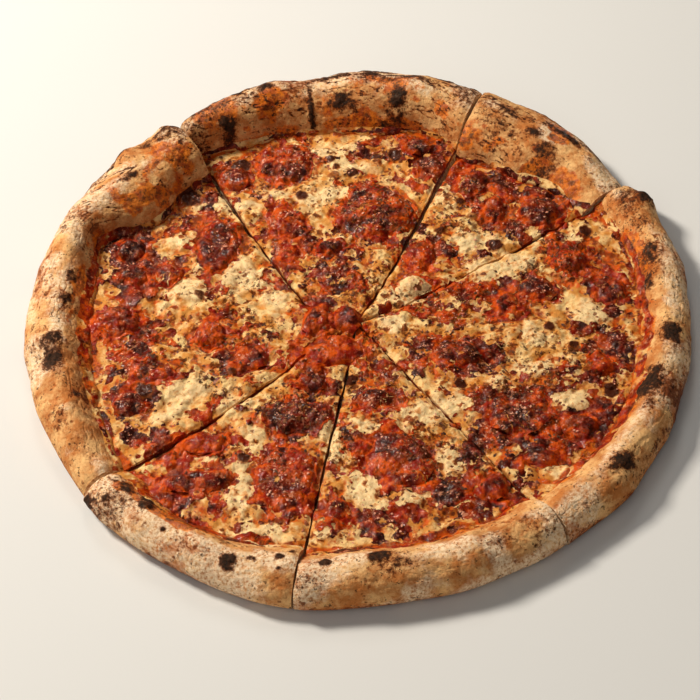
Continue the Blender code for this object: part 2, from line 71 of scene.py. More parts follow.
# Cut: direction in degrees, how far it passes beside the middle, how far it bows
# sideways half way out, how far it veers on the rim, and half its open width at
# four radii.
GAP_RADII = (0.0, 70.0, 128.0, 170.0)
CUTS = {
    "a_b": (116.8, 14.3, 3.5, 5.0, (0.7, 0.9, 1.2, 1.2)),
    "b_c": (66.0, -2.0, -1.3, -3.0, (0.7, 0.8, 1.8, 0.8)),
    "c_d": (32.0, -3.0, -1.8, 0.0, (0.6, 0.7, 0.7, 0.7)),
    "d_e": (-56.2, 0.2, 0.0, 0.0, (0.6, 0.6, 0.7, 0.6)),
    "e_f": (-101.9, 1.4, 0.0, 0.0, (0.6, 0.6, 0.6, 0.6)),
    "f_a": (-141.5, -3.5, 6.0, 0.0, (0.7, 1.0, 1.4, 1.0)),
}
CUT_LENGTH = 170.0
VEER_START, VEER_LENGTH = 128.0, 30.0
CUT_WAVE, CUT_WAVE_LENGTH, CUT_WAVE_FROM = 0.4, 7.0, 20.0
LEAST_HALF_GAP = 0.3

# The cuts meet a little beside the middle of the outline, which is the origin.
CUT_CENTRE = (-0.8, -3.8, 0.0)

# Degrees over which the values of the rim's stations are averaged.
STATION_SPREAD = (-3.0, -1.5, 0.0, 1.5, 3.0)

# Rim stations: direction in degrees, radius of the foot, outer radius, height of
# the crest, and how steep the inner wall is (1 is upright, 0.5 a gentle slope).
SLICES = {
    "a": ("a_b", "f_a", (
        (123, 130, 167, 26, 0.95), (128, 129.5, 170, 28, 1.0), (136, 127, 169.5, 28, 1.0),
        (144, 126, 168.5, 27, 1.0), (149, 134, 168, 25, 0.9), (153, 144, 167, 23, 0.75),
        (158, 140, 166.5, 22, 0.6), (166, 133, 166, 21, 0.55), (180, 130, 164.3, 19.5, 0.5),
        (191, 129, 162, 19, 0.5), (204, 134, 162, 19, 0.5), (211, 136, 162.5, 17, 0.5),
        (219, 138, 163.5, 13.5, 0.5))),
    "b": ("b_c", "a_b", (
        (65, 137, 174, 26.5, 1.0), (74, 143, 175, 27, 1.0), (82, 139, 175.5, 27.5, 1.0),
        (90, 139, 175.5, 27.5, 0.95), (95, 139.5, 175, 26.5, 0.9), (97, 140, 173, 24.5, 0.8),
        (99, 140, 175, 27, 0.9), (105, 142, 173.5, 27.5, 1.0), (112, 143, 170.5, 28, 1.0),
        (124, 147, 167, 26, 1.0))),
    "c": ("c_d", "b_c", (
        (30, 136, 168, 14.5, 0.5), (36, 134, 170, 17.5, 0.5), (43, 136, 172.5, 20, 0.7),
        (47, 131, 174, 22.5, 0.9), (54, 131, 175.5, 24.5, 1.0), (66, 128, 175.5, 26, 1.0))),
    "d": ("d_e", "c_d", (
        (-58, 138, 165.5, 18.5, 0.6), (-44, 134, 165.8, 18, 0.5), (-36, 137, 165, 18, 0.5),
        (-21, 138, 163.8, 18, 0.55), (-6, 139, 164.3, 18, 0.55), (2, 140, 167, 18, 0.6),
        (10, 144, 168.3, 18.5, 0.7), (18, 146, 168.5, 19, 0.7), (25, 146, 172.5, 18.5, 0.7),
        (31, 143, 169.5, 14.5, 0.55))),
    "e": ("e_f", "d_e", (
        (-102, 141, 169.8, 18.5, 0.6), (-95, 136, 168.7, 19, 0.5), (-90, 134, 167.3, 19, 0.5),
        (-78, 135, 166.4, 19, 0.5), (-69, 135, 166.2, 19, 0.5), (-56, 131, 165, 19, 0.55))),
    "f": ("f_a", "e_f", (
        (-143, 137, 165, 13.5, 0.55), (-135, 139, 166, 17, 0.6), (-130, 142, 166.5, 18, 0.6),
        (-115, 142, 167.5, 18, 0.6), (-108, 138, 169.3, 18, 0.55), (-101, 134, 170, 18.5, 0.5))),
}

# Blisters of the rim: slice, direction, share of the way across, width, height.
BLISTERS = (
    ("a", 127.5, 0.78, 11, 3.0), ("a", 137, 0.82, 13, 3.0), ("a", 146, 0.6, 16, 1.8),
    ("a", 160, 0.6, 18, 1.6), ("a", 185, 0.7, 18, 1.5), ("a", 203, 0.6, 16, 1.4),
    ("b", 76, 0.6, 18, 1.8), ("b", 88, 0.7, 16, 1.5), ("b", 106, 0.6, 18, 1.6),
    ("c", 58, 0.5, 18, 1.8), ("c", 38, 0.7, 14, 1.6),
    ("d", 25, 0.8, 13, 3.4), ("d", 8, 0.6, 18, 1.5), ("d", -14, 0.6, 18, 1.6),
    ("d", -40, 0.7, 16, 1.4), ("e", -72, 0.6, 18, 1.5), ("e", -92, 0.7, 16, 1.6),
    ("f", -137, 0.8, 13, 2.6), ("f", -118, 0.6, 16, 1.5),
)

# Burnt spots of the rim: direction, radius, length round the rim, length across,
# strength. Those over 1 go black and swell a little.
BURNS = (
    (-171, 151, 15, 11, 1.5), (-175, 149, 8, 7, 1.0), (141, 146, 9, 5, 1.3), (137, 167, 12, 7, 1.3),
    (128, 168, 12, 6, 1.3), (126, 160, 9, 9, 0.8), (133, 158, 10, 6, 0.7), (168, 146, 8, 5, 0.8),
    (174, 145, 9, 6, 0.9), (160, 147, 6, 4, 0.6), (-161, 142, 5, 6, 1.1), (182, 158, 9, 4, 0.5),
    (119, 164, 10, 5, 0.8), (122, 163, 9, 5, 0.9), (116, 138, 7, 10, 1.4), (116, 148, 9, 7, 1.1),
    (111, 165, 15, 5, 1.0), (106, 162, 10, 6, 1.1), (101, 166, 10, 5, 0.6),
    (97.8, 150, 3.4, 30, 1.0), (91.3, 149, 10, 9, 1.15),
    (89, 146, 5, 4, 0.8), (79.3, 149, 9, 14, 1.4), (77, 163, 20, 6, 0.9), (72, 160, 10, 8, 0.8),
    (68, 164, 9, 7, 0.8), (81, 139.5, 9, 3, 1.0), (62, 163, 14, 6, 0.7), (50.2, 153, 10, 6, 1.6),
    (58, 158, 26, 9, 0.85), (54, 146, 7, 9, 0.6), (46, 149, 12, 12, 0.8), (43, 141, 9, 14, 0.75),
    (50, 139, 8, 6, 0.6), (45, 164, 26, 4, 1.1), (38, 160, 8, 4, 0.4), (56, 147, 6, 5, 0.5),
    (25, 166, 9, 9, 1.9),
    (27, 158, 12, 9, 0.8), (20, 156, 11, 7, 0.8), (12, 152, 16, 9, 0.95), (6.5, 146, 16, 7, 0.95),
    (-9, 154, 15, 11, 1.8), (-20.5, 148, 18, 16, 1.8), (-26, 151, 8, 8, 0.7), (-30, 144, 4, 3, 0.8),
    (-40, 157, 11, 9, 1.3), (-88, 150, 10, 7, 1.15), (-84, 154, 15, 7, 0.7), (-97, 152, 6, 3.5, 1.2),
    (-66, 156, 10, 7, 0.55), (-62, 150, 6, 5, 0.5), (-112.5, 160, 8, 6, 1.3), (-109, 156, 4, 3, 0.9),
    (-104.5, 152, 4, 3.5, 1.2), (-102.5, 148, 4, 3.5, 0.9), (-104, 158, 3, 2.5, 1.2),
    (-125, 158, 4, 3.5, 1.3), (-140.5, 165, 7, 4, 1.6), (-137, 160, 7, 4, 1.5), (-136, 151, 11, 6, 1.3),
    (-132.5, 146, 9, 7, 1.3), (-131, 152, 7, 5, 1.3), (-128, 146, 9, 4, 0.9), (-121, 147, 12, 5, 0.9),
    (-115, 150, 9, 4, 0.7), (-75, 153, 12, 5, 0.35), (-50, 160, 10, 6, 0.3), (-148, 153, 14, 8, 0.35),
    (-156, 154, 12, 7, 0.4),
    (-86, 153, 24, 13, 0.55), (-136, 157, 26, 22, 0.6), (125, 157, 22, 24, 0.6), (141, 165, 34, 9, 0.6),
    (26, 162, 22, 22, 0.62), (66, 160, 18, 20, 0.6), (60, 152, 14, 12, 0.42), (-12, 155, 22, 12, 0.3),
    (-40, 156, 20, 12, 0.32), (-172, 152, 28, 18, 0.42), (112, 158, 26, 12, 0.5), (84, 162, 34, 10, 0.62),
    (-60, 158, 18, 12, 0.4), (-118, 160, 24, 8, 0.35), (155, 160, 20, 10, 0.4), (10, 152, 24, 12, 0.5),
    (40, 168, 20, 6, 0.6), (98, 160, 12, 18, 0.45), (-100, 162, 16, 8, 0.4),
)

# How much more or less toasted each slice is, and how much flour is left on it.
# Slice d's toasting is raised partly as painted shade, to darken the right side of the rim.
BAKING = {"a": (-0.02, 0.75), "b": (-0.1, 0.8), "c": (-0.14, 0.9),
          "d": (0.04, 0.7), "e": (-0.08, 0.95), "f": (-0.12, 1.0)}

# Stretches of the outer side that the oven's fire has darkened: from and to
# direction, from and to share of the way across, strength.
SCORCHES = (
    (44, 64, 0.82, 1.0, 0.9), (62, 100, 0.58, 0.95, 1.0), (98, 122, 0.66, 0.98, 0.9),
    (119, 134, 0.52, 1.0, 0.85), (134, 152, 0.72, 1.0, 0.9), (20, 33, 0.6, 1.0, 0.7),
    (-143, -132, 0.8, 1.0, 0.7), (152, 200, 0.9, 1.0, 0.45), (-40, 20, 0.85, 1.0, 0.55),
)

# Oil and sauce on the inner side of the rim: from and to direction, how far
# it climbs as a share of the rim's width, and strength.
STAINS = (
    (150, 196, 0.30, 0.95), (123, 150, 0.55, 0.9), (99, 124, 0.8, 0.85), (66, 98, 0.65, 0.8),
    (58, 67, 0.4, 0.9), (41, 52, 0.85, 1.0), (50, 61, 0.2, 1.0), (63, 68, 0.9, 0.9),
    (31, 44, 0.35, 0.75), (2, 24, 0.34, 0.7), (-34, 6, 0.30, 1.0),
    (-57, -30, 0.2, 0.8), (-96, -62, 0.16, 0.8), (-142, -119, 0.5, 1.0), (-126, -104, 0.27, 0.95),
    (196, 218, 0.18, 0.9),
)

# Sauce that has crept up the foot of the rim: direction, brightness, and the height
# that it reaches, on as many rows of points. The darkest tones, under the steep lobes
# of slices a and c, are partly painted shade at their feet.
SMEAR_POINTS = 27
FOOT_TONES = (
    (-150, 0.6, 10.5), (-141, 0.7, 10.5), (-135, 0.75, 13.5), (-118, 0.7, 13.0), (-108, 0.5, 9.0),
    (-102, 0.4, 9.0), (-98, 0.5, 11.0), (-88, 0.6, 11.0), (-80, 0.7, 9.5), (-68, 0.8, 10.5),
    (-57, 0.8, 10.0), (-46, 0.85, 10.0), (-34, 0.9, 13.0), (-5, 0.95, 13.5), (6, 0.8, 12.0),
    (25, 0.7, 10.5), (33, 0.4, 9.0), (43, 0.2, 9.0), (47, 0.3, 12.0), (51, 0.3, 12.0), (55, 0.15, 9.5),
    (63, 0.2, 9.5), (68, 0.4, 10.0), (80, 0.5, 10.5), (95, 0.5, 9.5), (110, 0.5, 10.0), (120, 0.3, 10.0),
    (128, 0.1, 11.0), (146, 0.1, 10.5), (155, 0.7, 12.5), (175, 0.95, 13.5), (196, 0.8, 12.5),
    (204, 0.6, 9.5), (210, 0.6, 10.5),
)

# Sauce and tomato lying flat between the larger pieces: middle, half sizes.
# The band along slice b's far rim, at (30, 126), is partly painted shade at the foot of the wall.
FLAT_TOMATO = (
    (-113, 56, 13, 17), (-109, 38, 15, 14), (-112, 22, 10, 10), (-96, 76, 15, 11), (-80, 90, 17, 8),
    (-97, 46, 12, 8), (-106, 0, 12, 14), (-112, -20, 8, 12), (-108, -44, 11, 14), (-98, -66, 14, 9),
    (-88, -80, 12, 6), (-60, -20, 14, 8), (-70, 4, 9, 8), (-60, 108, 12, 13), (-45, 118, 16, 9),
    (-48, 92, 6, 5), (-40, 62, 11, 8), (-16, 51, 22, 7), (-33, 44, 9, 8), (-12, 34, 13, 9),
    (-6, 20, 12, 12), (20, 58, 18, 8), (30, 126, 28, 8), (42, 112, 12, 12), (54, 100, 5, 10),
    (36, 62, 6, 8), (62, 104, 8, 16), (78, 92, 18, 14), (98, 78, 15, 17), (86, 62, 14, 8),
    (74, 84, 14, 10), (38, 50, 10, 14), (52, 42, 11, 9), (60, 18, 20, 9), (82, 10, 13, 10),
    (46, 8, 10, 7), (108, 40, 12, 13), (122, 24, 8, 10), (128, 10, 9, 18), (124, -22, 9, 18),
    (112, -8, 7, 7), (36, -16, 10, 7), (52, -26, 18, 11), (96, -38, 14, 7), (114, -36, 12, 10),
    (74, -60, 21, 20), (108, -62, 14, 14), (98, -76, 14, 9), (84, -91, 15, 8), (70, -98, 7, 8),
    (60, -76, 8, 8), (12, -34, 9, 10), (8, -50, 13, 9), (17, -88, 19, 23), (40, -108, 17, 10),
    (58, -104, 9, 12), (52, -86, 8, 7), (-12, -118, 10, 12), (12, -120, 22, 7), (-2, -76, 7, 8),
    (-74, -72, 18, 9), (-78, -94, 20, 10), (-64, -106, 20, 7), (-36, -100, 16, 24), (-29, -60, 18, 14),
    (-20, -38, 12, 9), (-48, -44, 8, 6), (-21, 2, 10, 13), (-8, 8, 10, 10), (-9, -18, 18, 10),
)

# Clumps of browned herbs and specks: middle, half sizes.
HERB_CLUMPS = (
    (-67, 18, 6, 12), (-48, 5, 10, 8), (-85, -9, 7, 5), (-96, -22, 5, 4), (-50, 33, 6, 6),
    (-102, -2, 8, 6), (-66, -46, 14, 8), (-52, -8, 12, 7), (-6, 90, 8, 9), (18, 74, 13, 9), (0, 62, 8, 5),
    (2, 26, 9, 10), (-20, 98, 4, 4), (58, 82, 8, 6), (46, 74, 8, 8), (62, 62, 8, 6), (62, 19, 9, 6),
    (106, 42, 9, 10), (88, 32, 8, 6), (36, -4, 10, 7), (26, -14, 8, 5), (30, 10, 14, 5), (62, -6, 8, 6),
    (50, -42, 6, 5), (94, -14, 14, 10), (110, -24, 8, 8), (80, -46, 14, 9), (90, -78, 8, 6),
    (-5, -38, 5, 5), (-6, -76, 4, 5), (-13, -84, 4, 6), (42, -78, 9, 9), (52, -90, 7, 7),
    (-27, -57, 17, 10), (-40, -88, 8, 6), (-54, -84, 4, 5), (26, -80, 8, 7), (68, -28, 10, 8),
)

# Smooth blobs of pale cheese: middle, half sizes.
PALE_BLOBS = (
    (85, 36, 7, 5.5), (104, -57, 6.5, 4.5), (112, 49, 4, 7), (25, -61, 5.5, 5), (-12, 124, 12, 5),
    (2, 112, 11, 5), (-10, 90, 10, 5), (-40, 92, 10, 4.5), (-8, 58, 8, 5), (-86, 62, 10, 5),
    (-60, 86, 12, 4), (-86, 24, 12, 8), (-52, 30, 12, 7), (-80, -40, 14, 7), (-92, -54, 9, 5),
    (-42, 20, 6, 8), (48, 88, 5, 9), (62, 54, 10, 5), (24, 18, 9, 7), (20, -2, 8, 6), (70, 30, 10, 5),
    (96, 52, 7, 6), (118, 0, 8, 8), (84, -12, 8, 5), (66, -42, 9, 5), (48, -52, 6, 4), (88, -34, 9, 4),
    (36, -58, 8, 6), (40, -88, 6, 8), (0, -104, 8, 10), (24, -112, 12, 3), (-52, -70, 6, 12),
    (-56, -100, 5, 14), (-14, -80, 5, 14), (-60, -50, 10, 5), (96, -100, 10, 3), (-20, -128, 10, 4),
    (-46, -128, 14, 4), (-70, -84, 6, 4), (10, -68, 10, 4), (-64, 40, 8, 4), (-22, 84, 6, 8),
)

# Round browned or black spots in the cheese: middle, half width, blackness.
SPOTS = (
    (1, 107, 2.9, 1.0), (-9, 105, 3.2, 0.55), (-26, 91, 3.4, 0.8), (73, 49, 3.6, 1.0), (57, 82, 2.4, 0.8),
    (45, 61, 2.8, 0.7), (62, 70, 3.0, 0.5), (-10, 118, 2.2, 0.9), (-7, 112, 2.2, 0.7), (95, -8, 3.0, 0.9),
    (106, -20, 2.4, 0.8), (120, 57, 3.6, 0.9), (49, -42, 3.4, 1.0), (-104, -40, 4.5, 0.9),
    (-4, -37, 3.6, 1.0),
    (-6, -74, 2.6, 0.9), (-55, -84, 3.4, 0.8), (121, -50, 4.0, 1.0), (-78, 22, 3.0, 0.7),
    (-62, -30, 2.4, 0.6),
    (14, 118, 3.0, 0.8), (24, 120, 4.5, 1.0), (-58, 116, 5.0, 1.0), (-84, 92, 6.0, 0.9), (28, 30, 2.2, 0.4),
)

# Looks of each piece of tomato: brightness, grated cheese and painted glints on it, herbs on it.
TOMATO_LOOKS = {
    "a1": (0.75, 0.5, 0.1), "a2": (0.12, 0.95, 0.2), "a3": (0.2, 0.8, 0.1), "a4": (0.6, 0.5, 0.0),
    "a5": (0.55, 0.6, 0.1), "a6": (0.95, 0.25, 0.1), "a7": (0.6, 0.45, 0.4), "a8": (0.45, 0.6, 0.2),
    "a9": (0.1, 0.8, 0.2), "b1": (0.5, 0.65, 0.5), "b2": (0.45, 0.7, 0.1), "b3": (0.65, 0.6, 0.8),
    "b4": (0.7, 0.6, 0.0), "b5": (0.3, 0.5, 0.4), "b6": (0.6, 0.3, 0.2), "c1": (0.5, 0.6, 0.1),
    "c2": (0.35, 0.7, 0.1), "c3": (0.3, 0.7, 0.1), "c4": (0.55, 0.8, 0.1), "c5": (1.0, 0.5, 0.0),
    "d1": (0.8, 0.3, 0.6), "d2": (0.2, 0.9, 0.2), "d3": (0.7, 0.45, 0.0), "d4": (0.35, 0.6, 0.1),
    "d5": (0.5, 0.7, 0.2), "d6": (0.45, 0.6, 0.0), "d7": (0.45, 0.8, 0.5), "d8": (0.3, 0.6, 0.1),
    "d9": (0.35, 0.6, 0.1), "e1": (0.5, 0.95, 0.0), "e2": (0.6, 0.55, 0.4), "e3": (0.6, 0.3, 0.0),
    "e4": (0.15, 1.0, 0.3), "e5": (0.45, 0.7, 0.0), "f1": (0.8, 0.4, 0.0), "f2": (0.6, 0.5, 0.1),
    "f3": (0.65, 0.55, 0.1), "f4": (0.3, 0.6, 1.0), "f5": (0.4, 0.8, 0.3),
    "middle_1": (0.95, 0.3, 0.1), "middle_2": (0.3, 0.4, 0.1), "middle_3": (0.95, 0.35, 0.1),
}

# The piece that is a curd of cheese.
CURD = "c5"

# Width of the meshes' squares.
FINE = 0.62
CRUST_STEP, SAUCE_STEP = 1.45 * FINE, 2.5


# ---------------------------------------------------------------- formulas

LATTICE, CELL_POINTS = 256, 128
FIRST_TURN, NEXT_TURN, LAYER_SHIFT, NOISE_GAIN = 0.6, 1.1, 31.7, 1.6
FAR = 9.0


def smooth_step(share):
    """0 to 1 with level ends: 3s^2 - 2s^3."""
    share = np.clip(share, 0.0, 1.0)
    return share * share * (3.0 - 2.0 * share)


def ramp(value, start, end):
    """0 at the start and 1 at the end, level at both, whichever of the two is higher."""
    return smooth_step((value - start) / (end - start))


def band(value, start, end, soft):
    """1 between start and end, and down to 0 at both of them over a soft length."""
    return smooth_step((value - start) / soft) * smooth_step((end - value) / soft)


def bell(value, width):
    """A soft ridge: exp(-(value / width)^2)."""
    return np.exp(-(value / width) ** 2)


def unit(value):
    """The value held between 0 and 1."""
    return np.clip(value, 0, 1)


def waves(x, y, seed, length):
    """Sum of six sine waves in mixed directions, about -1 to 1."""
    draw = np.random.default_rng(seed)
    total = np.zeros(np.broadcast(x, y).shape)
    for turn, phase, scale in zip(draw.uniform(0, pi, 6), draw.uniform(0, 2 * pi, 6),
                                  draw.uniform(0.7, 1.5, 6)):
        along = x * np.cos(turn) + y * np.sin(turn)
        total = total + np.sin(2 * pi * along / (length * scale) + phase)
    return total / 3.0


def lattice_noise(x, y, seed):
    """Random values on whole-number points, blended in between, -1 to 1."""
    table = np.random.default_rng(seed).uniform(-1.0, 1.0, (LATTICE, LATTICE))
    left, low = np.floor(x).astype(int), np.floor(y).astype(int)
    across, up = smooth_step(x - left), smooth_step(y - low)
    column, row, next_column, next_row = (place % LATTICE for place in (left, low, left + 1, low + 1))
    bottom = table[column, row] * (1 - across) + table[next_column, row] * across
    top = table[column, next_row] * (1 - across) + table[next_column, next_row] * across
    return bottom * (1 - up) + top * up


def fractal(x, y, length, seed, octaves=3):
    """Layers of lattice noise, each turned, twice as fine and half as strong."""
    total, weight, reach = 0.0, 1.0, 0.0
    for layer in range(octaves):
        turn = FIRST_TURN + NEXT_TURN * layer
        turned_x = (x * np.cos(turn) - y * np.sin(turn)) / length * 2 ** layer
        turned_y = (x * np.sin(turn) + y * np.cos(turn)) / length * 2 ** layer
        total = total + weight * lattice_noise(turned_x + LAYER_SHIFT * layer, turned_y, seed + layer)
        reach += weight
        weight *= 0.5
    return total / reach * NOISE_GAIN


def cells(x, y, length, seed):
    """Distance to the nearest of one random point in each square, in squares, and a
    random value that belongs to that point."""
    table = np.random.default_rng(seed).uniform(0.0, 1.0, (3, CELL_POINTS, CELL_POINTS))
    x, y = x / length, y / length
    left, low = np.floor(x).astype(int), np.floor(y).astype(int)
    best = np.full(np.shape(x), FAR)
    value = np.zeros(np.shape(x))
    for step_x in (-1, 0, 1):
        for step_y in (-1, 0, 1):
            column, row = (left + step_x) % CELL_POINTS, (low + step_y) % CELL_POINTS
            away = np.hypot(left + step_x + table[0, column, row] - x,
                            low + step_y + table[1, column, row] - y)
            value = np.where(away < best, table[2, column, row], value)
            best = np.minimum(best, away)
    return best, value


def chunks(x, y, length, seed):
    """Soft lumps about as wide as the length: 1 on top, 0 in the creases, from cells
    whose places noise has bent; and a random tone for each lump."""
    bent_x, bent_y = (place + 0.3 * length * fractal(x, y, 1.2 * length, seed + which)
                      for which, place in ((1, x), (2, y)))
    away, value = cells(bent_x, bent_y, length, seed)
    return smooth_step(1.2 - 1.35 * away), value


def patch_mask(x, y, patches, ragged, seed, soft=0.35):
    """1 inside ellipses whose edges are made ragged by noise, 0 outside."""
    shift = ragged * fractal(x, y, 9.0, seed, 4) + 0.45 * ragged * fractal(x, y, 2.6, seed + 9, 2)
    reach = np.full(np.shape(x), -FAR)
    for middle_x, middle_y, half_x, half_y in patches:
        near = np.abs(x - middle_x) < half_x * 2.2
        ring = 1.0 - np.hypot((x - middle_x) / half_x, (y - middle_y) / half_y)
        scaled = ring * min(half_x, half_y) / 6.0
        reach = np.where(near, np.maximum(reach, scaled), reach)
    return ramp(reach + shift, -soft, soft)


class Cut:
    """A cut from the middle to the edge."""

    def __init__(self, direction, beside, bow, veer, gaps):
        self.direction = np.radians(direction)
        self.beside = beside
        self.bow = bow
        self.veer = veer
        self.gaps = gaps

    def angle(self, radius):
        """A line beside the middle, bowed and veering, which bends into the middle near it."""
        side = self.beside * smooth_step(radius / BEND_RADIUS)
        side = side + self.bow * np.sin(pi * np.minimum(radius / CUT_LENGTH, 1.0))
        side = side + self.veer * smooth_step((radius - VEER_START) / VEER_LENGTH)
        widest = abs(self.beside) + abs(self.bow)
        return self.direction + np.arcsin(side / np.maximum(radius, widest))

    def half_gap(self, radius, seed):
        """Half the open width as an angle; the face of each slice waves on its own."""
        wave = CUT_WAVE * fractal(radius, 0.0 * radius, CUT_WAVE_LENGTH, 700 + seed)
        gap = np.interp(radius, GAP_RADII, self.gaps) + wave * ramp(radius, 0.0, CUT_WAVE_FROM)
        return np.arcsin(np.minimum(np.maximum(gap, LEAST_HALF_GAP) / np.maximum(radius, 0.1), 1.0))


class Slice:
    """One slice: its two cuts and the measures of its rim."""

    def __init__(self, name, first, last, stations):
        self.name = name
        self.first = Cut(*CUTS[first])
        self.last = Cut(*CUTS[last])
        if self.last.direction < self.first.direction:
            self.last.direction += 2 * pi
        self.stations = np.array(stations, float)
        self.seed = ord(name)
        radii = np.linspace(0.5, 12.0, 2000)
        low, high = self.sides(radii)
        self.tip = radii[np.argmax(high > low)]

    def sides(self, radius):
        """Angles of both cut faces at a radius."""
        return (self.first.angle(radius) + self.first.half_gap(radius, self.seed),
                self.last.angle(radius) - self.last.half_gap(radius, self.seed + 1))

    def rim(self, share):
        """Direction, foot, outer radius, height and steepness at a share of the way round."""
        start, end = self.first.angle(RIM_RADIUS), self.last.angle(RIM_RADIUS)
        direction = np.degrees(start + share * (end - start))
        column = self.stations.T
        foot, outer, height, steep = (
            np.mean([np.interp(direction + turn, column[0], values) for turn in STATION_SPREAD], axis=0)
            for values in column[1:])
        arc = np.radians(direction) * RIM_RADIUS
        outer = outer + RIM_WAVE * waves(arc, 0.0, self.seed, 34.0)
        height = height + RIM_WAVE * waves(arc, 9.0, self.seed + 50, 30.0)
        foot = foot + RIM_WAVE * waves(arc, 5.0, self.seed + 90, 26.0)
        return direction, foot, outer, height, steep

    def cheese_reach(self, share):
        """Radius where the cheese passes into the wall, farther where the wall is gentle."""
        _, foot, _, _, steep = self.rim(share)
        return foot + CHEESE_PAST_FOOT + CHEESE_UP_SLOPE * (1.0 - steep)

    def place(self, radius, share):
        """x and y at a radius and a share of the way from one cut face to the other."""
        low, high = self.sides(radius)
        angle = low + share * (high - low)
        return radius * np.cos(angle), radius * np.sin(angle)

    def shares(self, step):
        """Shares of the way round, as a column, for squares of this width at the rim."""
        turn = self.last.angle(RIM_RADIUS) - self.first.angle(RIM_RADIUS)
        return np.linspace(0.0, 1.0, int(turn * RIM_RADIUS / step) + 1)[:, None]

    def locate(self, x, y):
        """Radius of a place, its angle past the first cut face, and the angle between both."""
        radius = np.hypot(x, y)
        low, high = self.sides(radius)
        return radius, np.mod(np.arctan2(y, x) - low, 2 * pi), high - low

    def hold(self, x, y):
        """Pull points that pass a cut face back on to it."""
        radius = np.hypot(x, y)
        low, high = self.sides(radius)
        middle = (low + high) / 2
        angle = middle + np.mod(np.arctan2(y, x) - middle + pi, 2 * pi) - pi
        angle = np.clip(angle, low, high)
        return radius * np.cos(angle), radius * np.sin(angle)


ALL_SLICES = {name: Slice(name, *values) for name, values in SLICES.items()}


# ---------------------------------------------------------------- meshes

SHARP_ANGLE = 62


def grid_triangles(rows, columns):
    """Two triangles for each square of a grid numbered row by row."""
    first = (np.arange(rows - 1)[:, None] * columns + np.arange(columns - 1)).ravel()
    low = np.column_stack([first, first + columns, first + columns + 1])
    high = np.column_stack([first, first + columns + 1, first + 1])
    return np.concatenate([low, high])


def hung_sheet(x, y, z, bottom, round_tip):
    """A sheet from a grid of its top, with a skirt down to the bottom all round, or without
    one at the tip: points, triangles, the polygon below, and each point's place in the grid."""
    columns, rows = x.shape
    top = np.stack([x, y, z], axis=-1).reshape(-1, 3)
    sides = [np.arange(rows), np.arange(1, columns) * rows + rows - 1,
             (columns - 1) * rows + np.arange(rows - 1)[::-1]]
    if round_tip:
        sides.append(np.arange(1, columns - 1)[::-1] * rows)
    border = np.concatenate(sides)
    below = len(top) + np.arange(len(border))
    skirt = np.concatenate([
        np.column_stack([border, np.roll(below, -1), below]),
        np.column_stack([border, np.roll(border, -1), np.roll(below, -1)])])
    if not round_tip:
        skirt = np.delete(skirt, (len(border) - 1, 2 * len(border) - 1), axis=0)
    points = np.concatenate([top, top[border] * (1, 1, 0) + (0, 0, bottom)])
    triangles = np.concatenate([grid_triangles(columns, rows), skirt])[:, ::-1]
    return points, triangles, below[::-1], np.concatenate([np.arange(len(top)), border])


def slab(top, bottom):
    """A closed sheet between two grids: points, triangles, each point's place in its grid."""
    columns, rows = top.shape[:2]
    count = columns * rows
    number = np.arange(count).reshape(columns, rows)
    border = np.concatenate([number[0, :-1], number[:-1, -1], number[-1, :0:-1], number[:0:-1, 0]])
    beyond = np.roll(border, -1)
    faces = grid_triangles(columns, rows)
    sides = np.concatenate([np.column_stack([border, beyond, border + count]),
                            np.column_stack([beyond, beyond + count, border + count])])
    triangles = np.concatenate([faces[:, ::-1], faces + count, sides[:, ::-1]])
    points = np.concatenate([top.reshape(-1, 3), bottom.reshape(-1, 3)])
    return points, triangles, np.tile(np.arange(count), 2)


def make_piece(name, nodes, materials, points, triangles, polygons=(), attributes=None):
    """A closed piece from points in millimetres, which rides on the body and stands for the
    nodes. Points in one place are joined, triangles that lose a corner go, and polygons
    close what is left open, in the second material where there is one."""
    _, first, back = np.unique(np.round(points, 5), axis=0, return_index=True, return_inverse=True)
    back = back.ravel()
    faces = back[triangles]
    whole = (faces[:, 0] != faces[:, 1]) & (faces[:, 1] != faces[:, 2]) & (faces[:, 2] != faces[:, 0])
    closing = []
    for polygon in polygons:
        corners = back[polygon]
        closing.append(corners[corners != np.roll(corners, 1)].tolist())
    mesh = bpy.data.meshes.new(name)
    placed = (points[first] + CUT_CENTRE) * MM
    mesh.from_pydata(placed.tolist(), [], faces[whole].tolist() + closing)
    for label, values in (attributes or {}).items():
        layer = mesh.attributes.new(label, "FLOAT", "POINT")
        layer.data.foreach_set("value", values[first].astype(np.float32))
    if len(materials) > 1:
        indices = np.zeros(len(mesh.polygons), np.int32)
        indices[-len(closing):] = 1
        mesh.polygons.foreach_set("material_index", indices)
    mesh.shade_smooth()
    mesh.set_sharp_from_angle(angle=np.radians(SHARP_ANGLE))
    piece = bpy.data.objects.new(name, mesh)
    bpy.context.scene.collection.objects.link(piece)
    for finish in materials:
        mesh.materials.append(finish)
    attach(piece, "root")
    if nodes:
        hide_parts(*nodes)


# ---------------------------------------------------------------- materials

# In the materials below, a noise has its scale in waves to the metre, detail and roughness,
# and a layer shows where its noise or mask passes from the first to the second of two limits.

